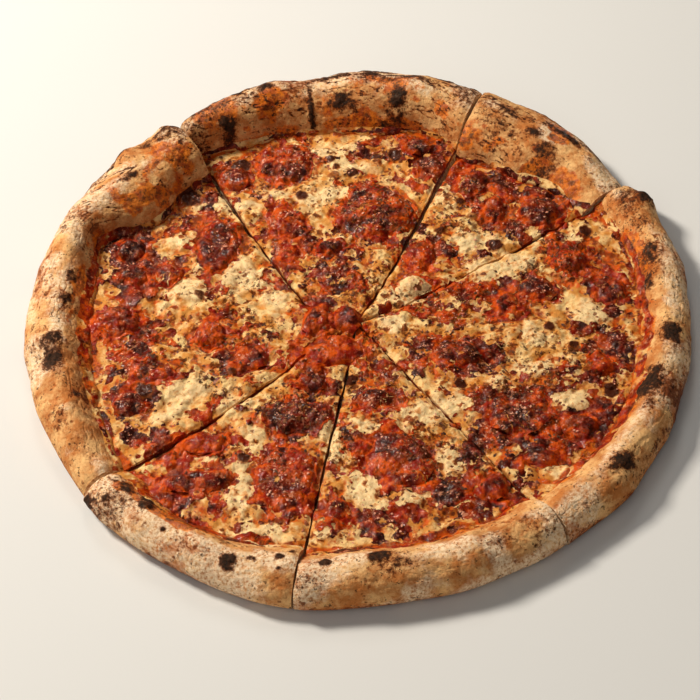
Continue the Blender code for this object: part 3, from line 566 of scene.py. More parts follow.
# Colours as a screen shows them: red, green and blue of 0 to 255.
CREAM, TAN, SMOKE, FLOUR = (242, 190, 126), (198, 122, 62), (150, 86, 42), (253, 224, 186)
DARK_SAND, TOASTED, BROWN, FRECKLE = (164, 92, 44), (184, 94, 32), (100, 38, 12), (126, 62, 24)
OIL, BAKED_OIL, DEEP_OIL = (236, 124, 20), (172, 60, 6), (88, 28, 8)
BURN_EDGE, BURNT, CHAR, ASH, SOOT = (134, 62, 20), (62, 27, 12), (24, 17, 14), (56, 35, 24), (52, 26, 14)
CUT_DOUGH, PORE_RIMS = (196, 140, 92), (238, 208, 164)
CHEESE, BAKED_CHEESE, PALE_CHEESE, FLECK = (246, 206, 140), (216, 146, 70), (252, 220, 164), (202, 128, 58)
GOLD, DEEP_GOLD, ORANGE_OIL, BROWN_OIL = (220, 134, 44), (192, 84, 16), (204, 80, 8), (120, 36, 6)
HALO, CRUMB, DARK_CRUMB = (208, 118, 34), (140, 56, 12), (84, 27, 6)
DARK_FLESH, WARM_DARK_FLESH, FLESH, WARM_FLESH = (56, 9, 3), (122, 30, 10), (150, 28, 4), (214, 84, 8)
CREASE_SHADE, GRAIN_AND_GLINT, HERB, DARK_HERB, SPECK = (34, 5, 2), (236, 158, 118), (122, 58, 14), (52, 23, 8), (118, 44, 8)
SPOT_EDGE, SPOT_MIDDLE = (150, 74, 24), (70, 26, 10)
SAUCE_DARK, SAUCE_LIGHT = (92, 20, 8), (150, 46, 16)

WARM_SHINE = (1.0, 0.72, 0.5, 1.0)
DOUGH_MASKS = ("toast_and_shade", "oil", "burn_and_shade", "flour")
TOPPING_MASKS = ("tomato", "bright", "grated_and_glint", "herb", "oil", "pale", "spot", "depth")


def linear(colour):
    """A screen colour as the linear colour that a shader wants. A socket stays as it is."""
    if not isinstance(colour, tuple):
        return colour
    value = np.array(colour) / 255.0
    return (*np.where(value <= 0.04045, value / 12.92, ((value + 0.055) / 1.055) ** 2.4), 1.0)


SHAKEN_DETAIL, SHAKEN_ROUGH = 5.0, 0.68


class Graph:
    """Short ways to add nodes to a tree, all of them at one place on the surface."""

    def __init__(self, tree, place):
        self.tree = tree
        self.place = place

    def feed(self, node, inputs):
        """Set the inputs to numbers and tuples, and join them to sockets."""
        for name, source in inputs.items():
            if isinstance(source, (int, float, tuple)):
                node.inputs[name].default_value = source
            else:
                self.tree.links.new(source, node.inputs[name])
        return node

    def add(self, kind, inputs, **settings):
        """A node with its settings and inputs."""
        node = self.tree.nodes.new(kind)
        for key, value in settings.items():
            setattr(node, key, value)
        return self.feed(node, inputs)

    def attribute(self, name):
        return self.add("ShaderNodeAttribute", {}, attribute_name=name).outputs["Fac"]

    def maths(self, operation, first, second):
        return self.add("ShaderNodeMath", {0: first, 1: second}, operation=operation).outputs[0]

    def times(self, first, second):
        return self.maths("MULTIPLY", first, second)

    def plus(self, first, second):
        return self.maths("ADD", first, second)

    def minus(self, first, second):
        return self.maths("SUBTRACT", first, second)

    def mix(self, share, first, second):
        inputs = {"Factor": share, "A": linear(first), "B": linear(second)}
        return self.add("ShaderNodeMix", inputs, data_type="RGBA").outputs["Result"]

    def over(self, colour, mask, strength, tint):
        """The colour with a tint over it, as strong as the mask times the strength."""
        return self.mix(self.times(mask, strength), colour, tint)

    def window(self, value, low, high):
        """0 at low, 1 at high, smooth between."""
        inputs = {"Value": value, "From Min": low, "From Max": high}
        return self.add("ShaderNodeMapRange", inputs, interpolation_type="SMOOTHSTEP").outputs["Result"]

    def noise(self, scale, detail, rough):
        inputs = {"Vector": self.place, "Scale": scale, "Detail": detail, "Roughness": rough}
        return self.add("ShaderNodeTexNoise", inputs).outputs["Fac"]

    def patches(self, scale, detail, rough, low, high):
        """Patches of noise: 0 where it is low, 1 where it is high."""
        return self.window(self.noise(scale, detail, rough), low, high)

    def shaken(self, mask, scale, amount, rough=SHAKEN_ROUGH):
        """A mask with noise added, so that a threshold on it has a ragged edge."""
        noise = self.minus(self.noise(scale, SHAKEN_DETAIL, rough), 0.5)
        return self.plus(mask, self.times(noise, amount))

    def ragged(self, mask, scale, amount, low, high, rough=SHAKEN_ROUGH):
        """A mask whose edge between low and high is ragged."""
        return self.window(self.shaken(mask, scale, amount, rough), low, high)

    def grouped(self, tree, inputs):
        """What a node group puts out at this place."""
        return self.add("ShaderNodeGroup", {"Vector": self.place, **inputs}, node_tree=tree).outputs

    def bump(self, height, strength, distance):
        inputs = {"Height": height, "Strength": strength, "Distance": distance}
        return self.add("ShaderNodeBump", inputs).outputs["Normal"]


def group(name, inputs, outputs):
    """An empty group with a vector and numbers going in: its graph, input and output node."""
    tree = bpy.data.node_groups.new(name, "ShaderNodeTree")
    tree.interface.new_socket(name="Vector", in_out="INPUT", socket_type="NodeSocketVector")
    for label, value in inputs.items():
        socket = tree.interface.new_socket(name=label, in_out="INPUT", socket_type="NodeSocketFloat")
        socket.default_value = value
    for label in outputs:
        kind = "NodeSocketColor" if label == "Color" else "NodeSocketFloat"
        tree.interface.new_socket(name=label, in_out="OUTPUT", socket_type=kind)
    given = tree.nodes.new("NodeGroupInput")
    return Graph(tree, given.outputs["Vector"]), given.outputs, tree.nodes.new("NodeGroupOutput")


def build_speckle_group():
    """Small ragged flecks: one round cell in each place of a scale, present with a
    likelihood that a coarser noise raises and lowers, so that flecks gather."""
    graph, given, result = group(
        "scattered specks", {"Scale": 500.0, "Density": 0.4, "Size": 0.4}, ("Mask",))
    scale = given["Scale"]
    bend = graph.add("ShaderNodeTexNoise", {"Vector": graph.place, "Scale": graph.times(scale, 0.8)})
    centred = graph.add("ShaderNodeVectorMath", {0: bend.outputs["Color"], 1: (0.5, 0.5, 0.5)},
                        operation="SUBTRACT")
    shift = graph.add("ShaderNodeVectorMath", {0: centred.outputs["Vector"],
                                               "Scale": graph.maths("DIVIDE", 2.2, scale)}, operation="SCALE")
    moved = graph.add("ShaderNodeVectorMath", {0: graph.place, 1: shift.outputs["Vector"]}, operation="ADD")
    cell = graph.add("ShaderNodeTexVoronoi", {"Vector": moved.outputs["Vector"], "Scale": scale},
                     feature="F1")
    drawn = graph.add("ShaderNodeSeparateColor", {"Color": cell.outputs["Color"]}).outputs
    gather = graph.minus(graph.noise(graph.times(scale, 0.17), 3.0, 0.55), 0.5)
    likely = graph.plus(given["Density"], graph.times(gather, 1.6))
    present = graph.maths("LESS_THAN", drawn["Red"], likely)
    ragged = graph.minus(graph.noise(graph.times(scale, 2.2), 3.0, 0.7), 0.5)
    away = graph.plus(cell.outputs["Distance"], graph.times(ragged, 0.75))
    reach = graph.times(given["Size"], graph.plus(0.6, drawn["Green"]))
    inside = graph.window(away, reach, graph.times(reach, 0.55))
    graph.feed(result, {"Mask": graph.times(inside, present)})
    return graph.tree


def build_relief_group():
    """Fine relief: coarse lumps plus pores, as one height."""
    graph, given, result = group(
        "food relief", {"Lumps": 260.0, "Pores": 900.0, "Pore Depth": 0.5}, ("Height",))
    lumps = graph.noise(given["Lumps"], 4.0, 0.6)
    pores = graph.noise(given["Pores"], 3.0, 0.65)
    graph.feed(result, {"Height": graph.plus(lumps, graph.times(pores, given["Pore Depth"]))})
    return graph.tree


SPECKS = build_speckle_group()
RELIEF = build_relief_group()


def specks(graph, scale, density, size):
    return graph.grouped(SPECKS, {"Scale": scale, "Density": density, "Size": size})["Mask"]


def relief(graph, lumps, pores, depth):
    return graph.grouped(RELIEF, {"Lumps": lumps, "Pores": pores, "Pore Depth": depth})["Height"]


def new_material(name):
    """A material with a Principled shader: the material, its graph and the shader."""
    made = bpy.data.materials.new(name)
    made.use_nodes = True
    place = made.node_tree.nodes.new("ShaderNodeTexCoord").outputs["Object"]
    return made, Graph(made.node_tree, place), made.node_tree.nodes["Principled BSDF"]


def dough_material():
    """Baked dough: cream with flour, toasted freckles, brown and black burns, and oil.
    The toast and burn masks also carry painted shade, on the low outer side of the rim and in its creases.
    """
    made, graph, shader = new_material("baked dough")
    toast_and_shade, oil, burn_and_shade, flour = (graph.attribute(name) for name in DOUGH_MASKS)
    colour = graph.mix(graph.patches(80.0, 6.0, 0.72, 0.38, 0.62), CREAM, TAN)
    colour = graph.over(colour, graph.patches(34.0, 6.0, 0.68, 0.5, 0.66), 0.5, SMOKE)
    sand = graph.noise(700.0, 5.0, 0.7)
    floured = graph.ragged(flour, 110.0, 1.4, 0.3, 0.85)
    colour = graph.over(colour, graph.window(sand, 0.3, 0.62), floured, FLOUR)
    colour = graph.over(colour, graph.window(sand, 0.48, 0.34), 0.35, DARK_SAND)
    # The toast mask also carries painted shade on the low outer side and along the creases, so these toast
    # colours and freckles paint it there.
    colour = graph.over(colour, graph.ragged(toast_and_shade, 200.0, 2.1, 0.45, 0.95), 0.7, TOASTED)
    brown_and_shade = graph.ragged(toast_and_shade, 360.0, 2.2, 0.82, 1.1)
    colour = graph.over(colour, brown_and_shade, 0.8, BROWN)
    freckles_and_shade = specks(graph, 520.0, graph.times(toast_and_shade, 0.34), 0.42)
    colour = graph.over(colour, freckles_and_shade, 0.75, FRECKLE)

    stain = graph.ragged(oil, 190.0, 1.9, 0.3, 0.7)
    stain_colour = graph.mix(graph.patches(260.0, 5.0, 0.68, 0.4, 0.62), OIL, BAKED_OIL)
    stain_colour = graph.mix(graph.ragged(oil, 240.0, 2.6, 0.95, 1.3), stain_colour, DEEP_OIL)
    colour = graph.over(colour, stain, 0.85, stain_colour)

    # The burn mask also carries painted shade in the creases and on the low outer side, so these burn and
    # char colours paint it there.
    shaken_burn_and_shade = graph.shaken(burn_and_shade, 420.0, 2.6)
    colour = graph.over(colour, graph.window(shaken_burn_and_shade, 0.1, 0.8), 0.8, BURN_EDGE)
    colour = graph.over(colour, graph.window(shaken_burn_and_shade, 0.45, 0.95), 0.9, BURNT)
    char = graph.mix(graph.patches(700.0, 3.0, 0.55, 0.4, 0.6), CHAR, ASH)
    colour = graph.mix(graph.window(shaken_burn_and_shade, 0.75, 1.15), colour, char)
    colour = graph.over(colour, specks(graph, 850.0, graph.times(burn_and_shade, 0.75), 0.5), 0.8, SOOT)

    height = graph.minus(relief(graph, 180.0, 640.0, 0.6), graph.times(freckles_and_shade, 0.2))
    height = graph.minus(height, graph.times(brown_and_shade, 0.2))
    graph.feed(shader, {
        "Base Color": colour, "Roughness": graph.minus(0.8, graph.times(stain, 0.42)),
        "Specular IOR Level": 0.25, "Specular Tint": WARM_SHINE,
        "Normal": graph.bump(height, 0.65, 0.0013)})
    return made


def crumb_material():
    """The cut face of the dough: pale, with pores."""
    made, graph, shader = new_material("cut dough")
    pores = graph.patches(500.0, 3.0, 0.6, 0.42, 0.6)
    graph.feed(shader, {"Base Color": graph.mix(pores, CUT_DOUGH, PORE_RIMS), "Roughness": 0.85,
                        "Normal": graph.bump(pores, 0.6, 0.0006)})
    return made


def cheese_colour(graph, herb, oil, pale):
    """Melted cheese with browned flecks, oil and crumbs: its colour and where it is golden."""
    colour = graph.mix(graph.patches(120.0, 4.0, 0.55, 0.42, 0.58), CHEESE, BAKED_CHEESE)
    colour = graph.over(colour, pale, 0.85, PALE_CHEESE)
    colour = graph.over(colour, graph.patches(520.0, 4.0, 0.7, 0.5, 0.66), 0.7, FLECK)
    golden = graph.ragged(oil, 190.0, 1.7, 0.26, 0.8, 0.66)
    gold = graph.mix(graph.patches(320.0, 4.0, 0.65, 0.4, 0.6), GOLD, DEEP_GOLD)
    colour = graph.over(colour, golden, 0.75, gold)
    oily = graph.ragged(oil, 230.0, 1.7, 0.5, 0.92, 0.62)
    wet = graph.mix(graph.patches(200.0, 3.0, 0.5, 0.42, 0.6), ORANGE_OIL, BROWN_OIL)
    colour = graph.over(colour, oily, 0.92, wet)
    many = graph.minus(graph.plus(0.27, graph.times(herb, 0.3)), graph.times(pale, 0.1))
    colour = graph.over(colour, specks(graph, 230.0, many, 0.7), 0.65, HALO)
    crumb = graph.mix(graph.patches(300.0, 2.0, 0.55, 0.42, 0.58), CRUMB, DARK_CRUMB)
    return graph.over(colour, specks(graph, 230.0, many, 0.4), 0.9, crumb), golden


def tomato_colour(graph, bright, grated_and_glint, depth):
    """Roasted tomato with painted shade in its creases, under a pale film that is partly grated cheese and
    partly painted glints: colour and film.
    """
    mottled = graph.patches(210.0, 4.0, 0.6, 0.4, 0.6)
    dark = graph.mix(mottled, DARK_FLESH, WARM_DARK_FLESH)
    light = graph.mix(mottled, FLESH, WARM_FLESH)
    colour = graph.mix(graph.ragged(bright, 130.0, 1.2, 0.3, 0.8, 0.55), dark, light)
    # Painted shade in the creases between the chunks.
    colour = graph.over(colour, depth, 0.9, CREASE_SHADE)
    # A pinkish-white film and grains: partly grated cheese, partly painted glints.
    film = graph.patches(420.0, 5.0, 0.72, 0.55, 0.63)
    grains_and_glints = graph.times(graph.maths("MAXIMUM", film, specks(graph, 380.0, 0.3, 0.34)), grated_and_glint)
    return graph.over(colour, grains_and_glints, 0.65, GRAIN_AND_GLINT), grains_and_glints


def build_topping_group():
    """Colour, roughness, gloss and fine height of cheese, sauce and roasted tomato, from
    masks made with the meshes: where tomato lies, how bright, grated or glinting, oily or
    herbed, and where shade is painted in the creases."""
    graph, given, result = group(
        "cheese and tomato", {name: 0.0 for name in TOPPING_MASKS}, ("Color", "Roughness", "Gloss", "Height"))
    tomato, bright, grated_and_glint, herb, oil, pale, spot, depth = (given[name] for name in TOPPING_MASKS)
    cheese, golden = cheese_colour(graph, herb, oil, pale)
    flesh, grains_and_glints = tomato_colour(graph, bright, grated_and_glint, depth)
    here = graph.ragged(tomato, 280.0, 1.5, 0.4, 0.56, 0.66)
    colour = graph.mix(here, cheese, flesh)
    herbs = specks(graph, 360.0, graph.times(herb, 0.6), 0.5)
    dried = graph.mix(graph.patches(300.0, 2.0, 0.55, 0.42, 0.58), HERB, DARK_HERB)
    colour = graph.over(colour, herbs, 0.8, dried)
    small = specks(graph, 420.0, 0.08, 0.42)
    colour = graph.over(colour, small, 0.8, SPECK)
    spotted = graph.shaken(spot, 420.0, 0.9)
    colour = graph.over(colour, graph.window(spotted, 0.08, 0.45), 0.8, SPOT_EDGE)
    colour = graph.mix(graph.window(spotted, 0.42, 0.78), colour, SPOT_MIDDLE)

    rough = graph.plus(graph.minus(0.48, graph.times(here, 0.12)), graph.times(herbs, 0.25))
    slick = graph.maths("MAXIMUM", here, graph.times(graph.maths("MAXIMUM", golden, pale), 0.45))
    patchy = graph.patches(240.0, 4.0, 0.65, 0.42, 0.58)
    gloss = graph.times(graph.times(slick, patchy), graph.minus(1.0, graph.times(herbs, 0.8)))
    height = graph.times(relief(graph, 260.0, 640.0, 0.7), graph.plus(0.45, graph.times(here, 0.55)))
    height = graph.plus(height, graph.times(grains_and_glints, 0.3))
    height = graph.plus(height, graph.times(graph.plus(herbs, small), 0.3))
    graph.feed(result, {"Color": colour, "Roughness": rough, "Gloss": gloss, "Height": height})
    return graph.tree


TOPPING = build_topping_group()


def topping_material(name, shine, depth_of_light, bump):
    """Cheese, sauce or tomato: the shared colours with its own shine and relief, and a
    glaze whose surface waves more coarsely than the food."""
    made, graph, shader = new_material(name)
    look = graph.grouped(TOPPING, {mask: graph.attribute(mask) for mask in TOPPING_MASKS})
    graph.feed(shader, {
        "Base Color": look["Color"], "Roughness": look["Roughness"],
        "Specular IOR Level": 0.12, "Specular Tint": WARM_SHINE,
        "Coat Weight": graph.times(look["Gloss"], shine), "Coat Roughness": 0.12, "Coat IOR": 1.45,
        "Subsurface Weight": 0.05, "Subsurface Radius": depth_of_light,
        "Normal": graph.bump(look["Height"], bump, 0.0014),
        "Coat Normal": graph.bump(graph.noise(360.0, 4.0, 0.6), 0.8, 0.0012)})
    return made


def mottled_material(name, low, high, rough, scale=300.0):
    """Two colours mixed by noise, with relief of the same size."""
    made, graph, shader = new_material(name)
    mask = graph.noise(scale, 4.0, 0.6)
    graph.feed(shader, {"Base Color": graph.mix(graph.window(mask, 0.38, 0.62), low, high),
                        "Roughness": graph.plus(rough - 0.1, graph.times(mask, 0.2)),
                        "Normal": graph.bump(mask, 0.4, 0.0006)})
    return made


# ---------------------------------------------------------------- crust

RIM_INNER_POINTS, RIM_OUTER_POINTS, RIM_UNDER_POINTS = 52, 46, 20
BASE_POINTS = 10

# Relief of the rim: how high lumps, dimples, bubbles and char stand out, how deep and
# wide the wrinkles are, how wide the dark line painted along them is (partly toasting,
# partly painted shade in the crease), and how far the surface drops at the cut faces.
LUMPS_RISE, DIMPLES_RISE, BUBBLE_RISE, CHAR_RISE = 0.65, 0.25, 0.45, 0.6
GROOVE_DEPTH, GROOVE_WIDTH, CREASE_BURN_SHADE_WIDTH = 0.3, 0.16, 0.11
LIP_DROP, LIP_WIDTH = 0.9, 1.6
BUBBLE_LENGTH = 7.0


def burn_mask(direction, radius, arc_noise):
    """Burnt spots: a soft ellipse round each, ragged by noise."""
    total = np.zeros(direction.shape)
    for where, spot_radius, length, width, strength in BURNS:
        turn = np.mod(direction - where + 180.0, 360.0) - 180.0
        along = np.radians(turn) * spot_radius / (0.5 * length)
        aside = (radius - spot_radius) / (0.5 * width)
        ring = np.hypot(along, aside) + 0.5 * arc_noise
        total = np.maximum(total, min(strength, 1.2) * ramp(ring, 1.8, 0.2))
    return total


def stain_mask(direction, across):
    """Oil that climbs the inner wall, as a share of the rim's width."""
    total = np.zeros(direction.shape)
    for start, end, climb, strength in STAINS:
        for lap in (0.0, -360.0):
            inside = band(direction, start + lap, end + lap, 5.0)
            total = np.maximum(total, strength * inside * ramp(across, climb + 0.08, climb - 0.08))
    return total


def scorch_mask(direction, across):
    """Bands along the outer side of the rim, soft at all four ends."""
    total = np.zeros(np.broadcast(direction, across).shape)
    for start, end, low, high, strength in SCORCHES:
        for lap in (0.0, 360.0):
            along = band(direction, start + lap, end + lap, 4.0)
            aside = ramp(across, low, low + 0.12) * ramp(across, high + 0.1, high)
            total = np.maximum(total, strength * along * aside)
    return total


def rim_section(share, crest, steep):
    """Share of the way across the rim and height along its section, from the foot over the
    crest and under to the resting face.

    The inner side is a quarter ellipse whose way across is raised to the power of the
    steepness, the outer side one to the widest point, and the underside another."""
    widest = WIDEST_HEIGHT * crest
    inner, outer, under = (np.linspace(0.0, pi / 2, points)[None, :]
                           for points in (RIM_INNER_POINTS, RIM_OUTER_POINTS, RIM_UNDER_POINTS))
    outer, under = outer[:, 1:], under[:, 1:]
    across = [CREST_ACROSS * (1 - np.cos(inner)) ** steep,
              CREST_ACROSS + (1 - CREST_ACROSS) * np.sin(outer) + 0 * share,
              1 - UNDERCUT * (1 - np.cos(under)) + 0 * share]
    height = [BASE_TOP + (crest - BASE_TOP) * np.sin(inner),
              widest + (crest - widest) * np.cos(outer),
              widest * (1 - np.sin(under))]
    return np.concatenate(across, axis=1), np.concatenate(height, axis=1)


def crust_surface(piece):
    """Points of the crust on a grid: columns round the slice, rows along its section
    from the tip over the rim and back under it, with masks for its colours. Noise and
    blisters push the points out along the section's normal."""
    share = piece.shares(CRUST_STEP)
    direction, foot, outer, crest, steep = piece.rim(share)
    width = outer - foot
    across, height = rim_section(share, crest, steep)
    radius = foot + across * width

    step_r, step_z = np.gradient(radius, axis=1), np.gradient(height, axis=1)
    length = np.maximum(np.hypot(step_r, step_z), 1e-6)
    along = np.cumsum(length, axis=1)
    arc = np.radians(direction) * RIM_RADIUS + 0 * along

    def noise(size, seed, octaves=3, stretch=1.0):
        return fractal(arc / stretch, along, size, piece.seed + seed, octaves)

    blister = np.zeros(radius.shape)
    for name, where, place, size, bulge in BLISTERS:
        if name == piece.name:
            away = np.radians(direction - where) * RIM_RADIUS
            blister = blister + bulge * bell(np.hypot(away, (across - place) * width), 0.5 * size)
    upper = ramp(height, 3.0, 8.0) * ramp(across, 0.0, 0.12)
    ragged = noise(6.0, 300)
    streaks = noise(3.4, 370, stretch=2.6)
    scorch = scorch_mask(direction, across) * smooth_step(0.55 + 0.9 * streaks + 0.5 * ragged)
    burn_and_shade = np.maximum(burn_mask(direction + 0 * along, radius, ragged), scorch)
    # Dark lines along the wrinkles, strongest on the tall steep walls of the far rim: partly toasting in the
    # cracks, partly painted shade in the creases.
    crease_burn_and_shade = bell(streaks, CREASE_BURN_SHADE_WIDTH) * smooth_step(0.5 + 1.2 * noise(15.0, 375))
    far_wall = ramp(steep, 0.6, 0.9) * ramp(height, 9.0, 13.0)
    burn_and_shade = np.maximum(burn_and_shade, 0.95 * crease_burn_and_shade * (0.12 + 0.88 * far_wall))
    bubbles, bubble_value = cells(arc, along, BUBBLE_LENGTH, piece.seed + 310)
    bubble = ramp(bubbles, 0.5, 0.0) * ramp(bubble_value, 0.45, 0.65)
    bumps = (LUMPS_RISE * noise(17.0, 320) + DIMPLES_RISE * noise(4.5, 330)
             - GROOVE_DEPTH * bell(streaks, GROOVE_WIDTH) * ramp(height, 9.0, 15.0)
             + BUBBLE_RISE * bubble * (0.35 + 0.65 * smooth_step(burn_and_shade))
             + CHAR_RISE * smooth_step(burn_and_shade - 0.5) * (1 + 0.8 * noise(2.4, 335, 2)))
    edge = np.minimum(share, 1 - share) * (len(piece.shares(1.0)) - 1)
    push = (bumps - LIP_DROP * bell(edge, LIP_WIDTH)) * upper + blister * upper
    radius = radius - push * step_z / length
    height = np.maximum(height + push * step_r / length, 0.0)

    oil = stain_mask(direction + 0 * along, across + 0.07 * noise(12.0, 340))
    oil = oil * (0.7 + 1.3 * noise(10.0, 345, stretch=1.6))
    # Darker towards the bottom of the outer side: partly a toasted underside, partly painted shade.
    low = ramp(across, 0.55, 0.85) * ramp(height, 0.62 * crest, 0.62 * crest - 9.0)
    freckle_and_shade = 0.32 + 0.7 * noise(20.0, 350, 4)
    # Darker along the wrinkles high on the rim: partly toasting, partly painted shade in the creases.
    freckle_and_shade = freckle_and_shade + 0.45 * ramp(np.abs(streaks), 0.25, 0.05) * ramp(height, 14.0, 19.0)
    flour = smooth_step(0.75 + 0.9 * noise(26.0, 360)) * ramp(across, 0.3, 0.6)
    ridge_top = bell(across - 0.5, 0.22) * smooth_step(0.7 + 0.8 * noise(22.0, 365))
    more_toast_and_shade, floured = BAKING[piece.name]
    freckle_and_shade = freckle_and_shade - 0.3 * ridge_top + more_toast_and_shade

    base = np.linspace(0.0, 1.0, BASE_POINTS)[None, :-1]
    base_radius = piece.tip + (foot - piece.tip) * base
    rest_radius = piece.tip + (radius[:, -1:] - piece.tip) * base[:, ::-1]

    def padded(values, before, after):
        """Values along the rim with one value on the base and one on the resting face."""
        left, right = (np.full(base_radius.shape, float(end)) for end in (before, after))
        return np.concatenate([left, values + 0 * along, right], axis=1)

    # The toast and burn masks carry the painted shade of the low outer side and of the creases.
    masks = {
        "oil": padded(unit(oil), 1, 0),
        "burn_and_shade": padded(np.maximum(burn_and_shade, 0.3 * low), 0, 0.3),
        "toast_and_shade": padded(freckle_and_shade + 0.65 * low, 0.2, 0.95),
        "flour": padded(np.maximum(flour, ridge_top) * floured, 0, 0.4),
    }
    radius = np.concatenate([base_radius, radius, rest_radius], axis=1)
    x, y = piece.place(radius, share + 0 * radius)
    return np.stack([x, y, padded(height, BASE_TOP, 0)], axis=-1), masks


def build_crust(piece, dough, crumb):
    """Crust of one slice, with both cut faces closed."""
    points, masks = crust_surface(piece)
    columns, rows = points.shape[:2]
    first_face = np.arange(rows)[::-1]
    last_face = (columns - 1) * rows + np.arange(rows)
    make_piece("baked_crust_" + piece.name, ["crust_" + piece.name], (dough, crumb),
               points.reshape(-1, 3), grid_triangles(columns, rows)[:, ::-1], (first_face, last_face),
               {name: values.ravel() for name, values in masks.items()})


# ---------------------------------------------------------------- tomato lumps

# How much farther than its solid a piece may reach, the size from which it is dented, and
# how high its wrinkles, chunks, ridges and herbs stand out.
WIDER = 0.8
LARGE_LUMP = 12
WRINKLE_RISE, CHUNK_RISE, RIDGE_RISE, LUMP_HERB_RISE = 1.1, 1.5, 0.9, 0.35
CHUNK_LENGTH, CHUNK_SEED = 8.0, 470
CUT_DROP, CUT_DROP_WIDTH = 0.6, 2.2


class Lump:
    """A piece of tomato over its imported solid: outline, dome and wrinkles."""

    def __init__(self, node):
        low, high = (np.array(corner) / MM - CUT_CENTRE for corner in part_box(node))
        self.node = node
        self.key = node.removeprefix("tomato_")
        self.piece = ALL_SLICES.get(self.key[0])
        self.middle = (low[:2] + high[:2]) / 2
        self.half = (high[:2] - low[:2]) / 2 + WIDER
        self.size = float(np.mean(self.half))
        self.top = high[2]
        self.seed = 7 * sum(ord(letter) for letter in node)
        self.hollow = 0.28 if self.key == "a1" else 0.1 if self.size > LARGE_LUMP else 0.0

    def near(self, x, y, reach=1.7):
        """Which points are close enough to matter."""
        return ((np.abs(x - self.middle[0]) < self.half[0] * reach + 3.0)
                & (np.abs(y - self.middle[1]) < self.half[1] * reach + 3.0))

    def ring(self, x, y):
        """0 in the middle, 1 on the outline, which noise makes uneven."""
        away = np.hypot((x - self.middle[0]) / self.half[0], (y - self.middle[1]) / self.half[1])
        uneven = 0.24 * fractal(x, y, 0.9 * self.size, self.seed, 2)
        return away * (1 + uneven + 1.3 / self.size * fractal(x, y, 4.0, self.seed + 3))

    def height(self, x, y, herb):
        """Height of the dome (1 - r^3)^0.7 with wrinkles and herbs; below the cheese outside."""
        ring = self.ring(x, y)
        dome = unit(1 - unit(ring) ** 3) ** 0.7
        rise = self.top - LUMP_BOTTOM
        wrinkles = (WRINKLE_RISE * fractal(x, y, 8.5, self.seed + 12)
                    + CHUNK_RISE * (chunks(x, y, CHUNK_LENGTH, CHUNK_SEED)[0] - 0.75)
                    + RIDGE_RISE * (0.5 - np.abs(fractal(x, y, 3.6, self.seed + 13))))
        sunk = self.hollow * rise * ramp(ring, 0.72, 0.37)
        dome_top = LUMP_BOTTOM + (rise - 0.6) * dome + wrinkles * smooth_step(dome * 1.6) * 0.8 - sunk
        return dome_top + LUMP_HERB_RISE * herb_relief(x, y, herb)


LUMPS = [Lump(node) for node in sorted(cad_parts) if node.startswith("tomato_")]


def herb_relief(x, y, herb):
    """Crumbly relief where herbs lie."""
    return herb * fractal(x, y, 2.2, 540, 2)


def tone(x, y):
    """Brightness, grated cheese with painted glints, and herbs at any place: the looks of
    the pieces, each weighted by 1 / (distance^2 + 5^2)^1.5."""
    total = np.zeros((3,) + np.shape(x))
    weights = np.zeros(np.shape(x))
    for lump in LUMPS:
        away = np.hypot(x - lump.middle[0], y - lump.middle[1]) / (0.5 + lump.size / 20.0)
        weight = (away ** 2 + 5.0 ** 2) ** -1.5
        weights = weights + weight
        for row, look in zip(total, TOMATO_LOOKS[lump.key]):
            row += weight * look
    return total / weights


def lump_ring(x, y):
    """Least ring value of all pieces of tomato at each point."""
    least = np.full(np.shape(x), FAR)
    for lump in LUMPS:
        near = lump.near(x, y)
        if near.any():
            ring = 1 + (lump.ring(x[near], y[near]) - 1) * lump.size / 9.0
            least[near] = np.minimum(least[near], ring)
    return least


def spot_mask(x, y):
    """Round browned spots, a little ragged."""
    spot = np.zeros(np.shape(x))
    for middle_x, middle_y, half, black in SPOTS:
        near = np.abs(x - middle_x) + np.abs(y - middle_y) < 4 * half
        away = np.hypot(x[near] - middle_x, y[near] - middle_y) / half
        ragged = 0.22 * fractal(x[near], y[near], 2.5, 440)
        spot[near] = np.maximum(spot[near], black * ramp(away + ragged, 1.25, 0.65))
    return spot


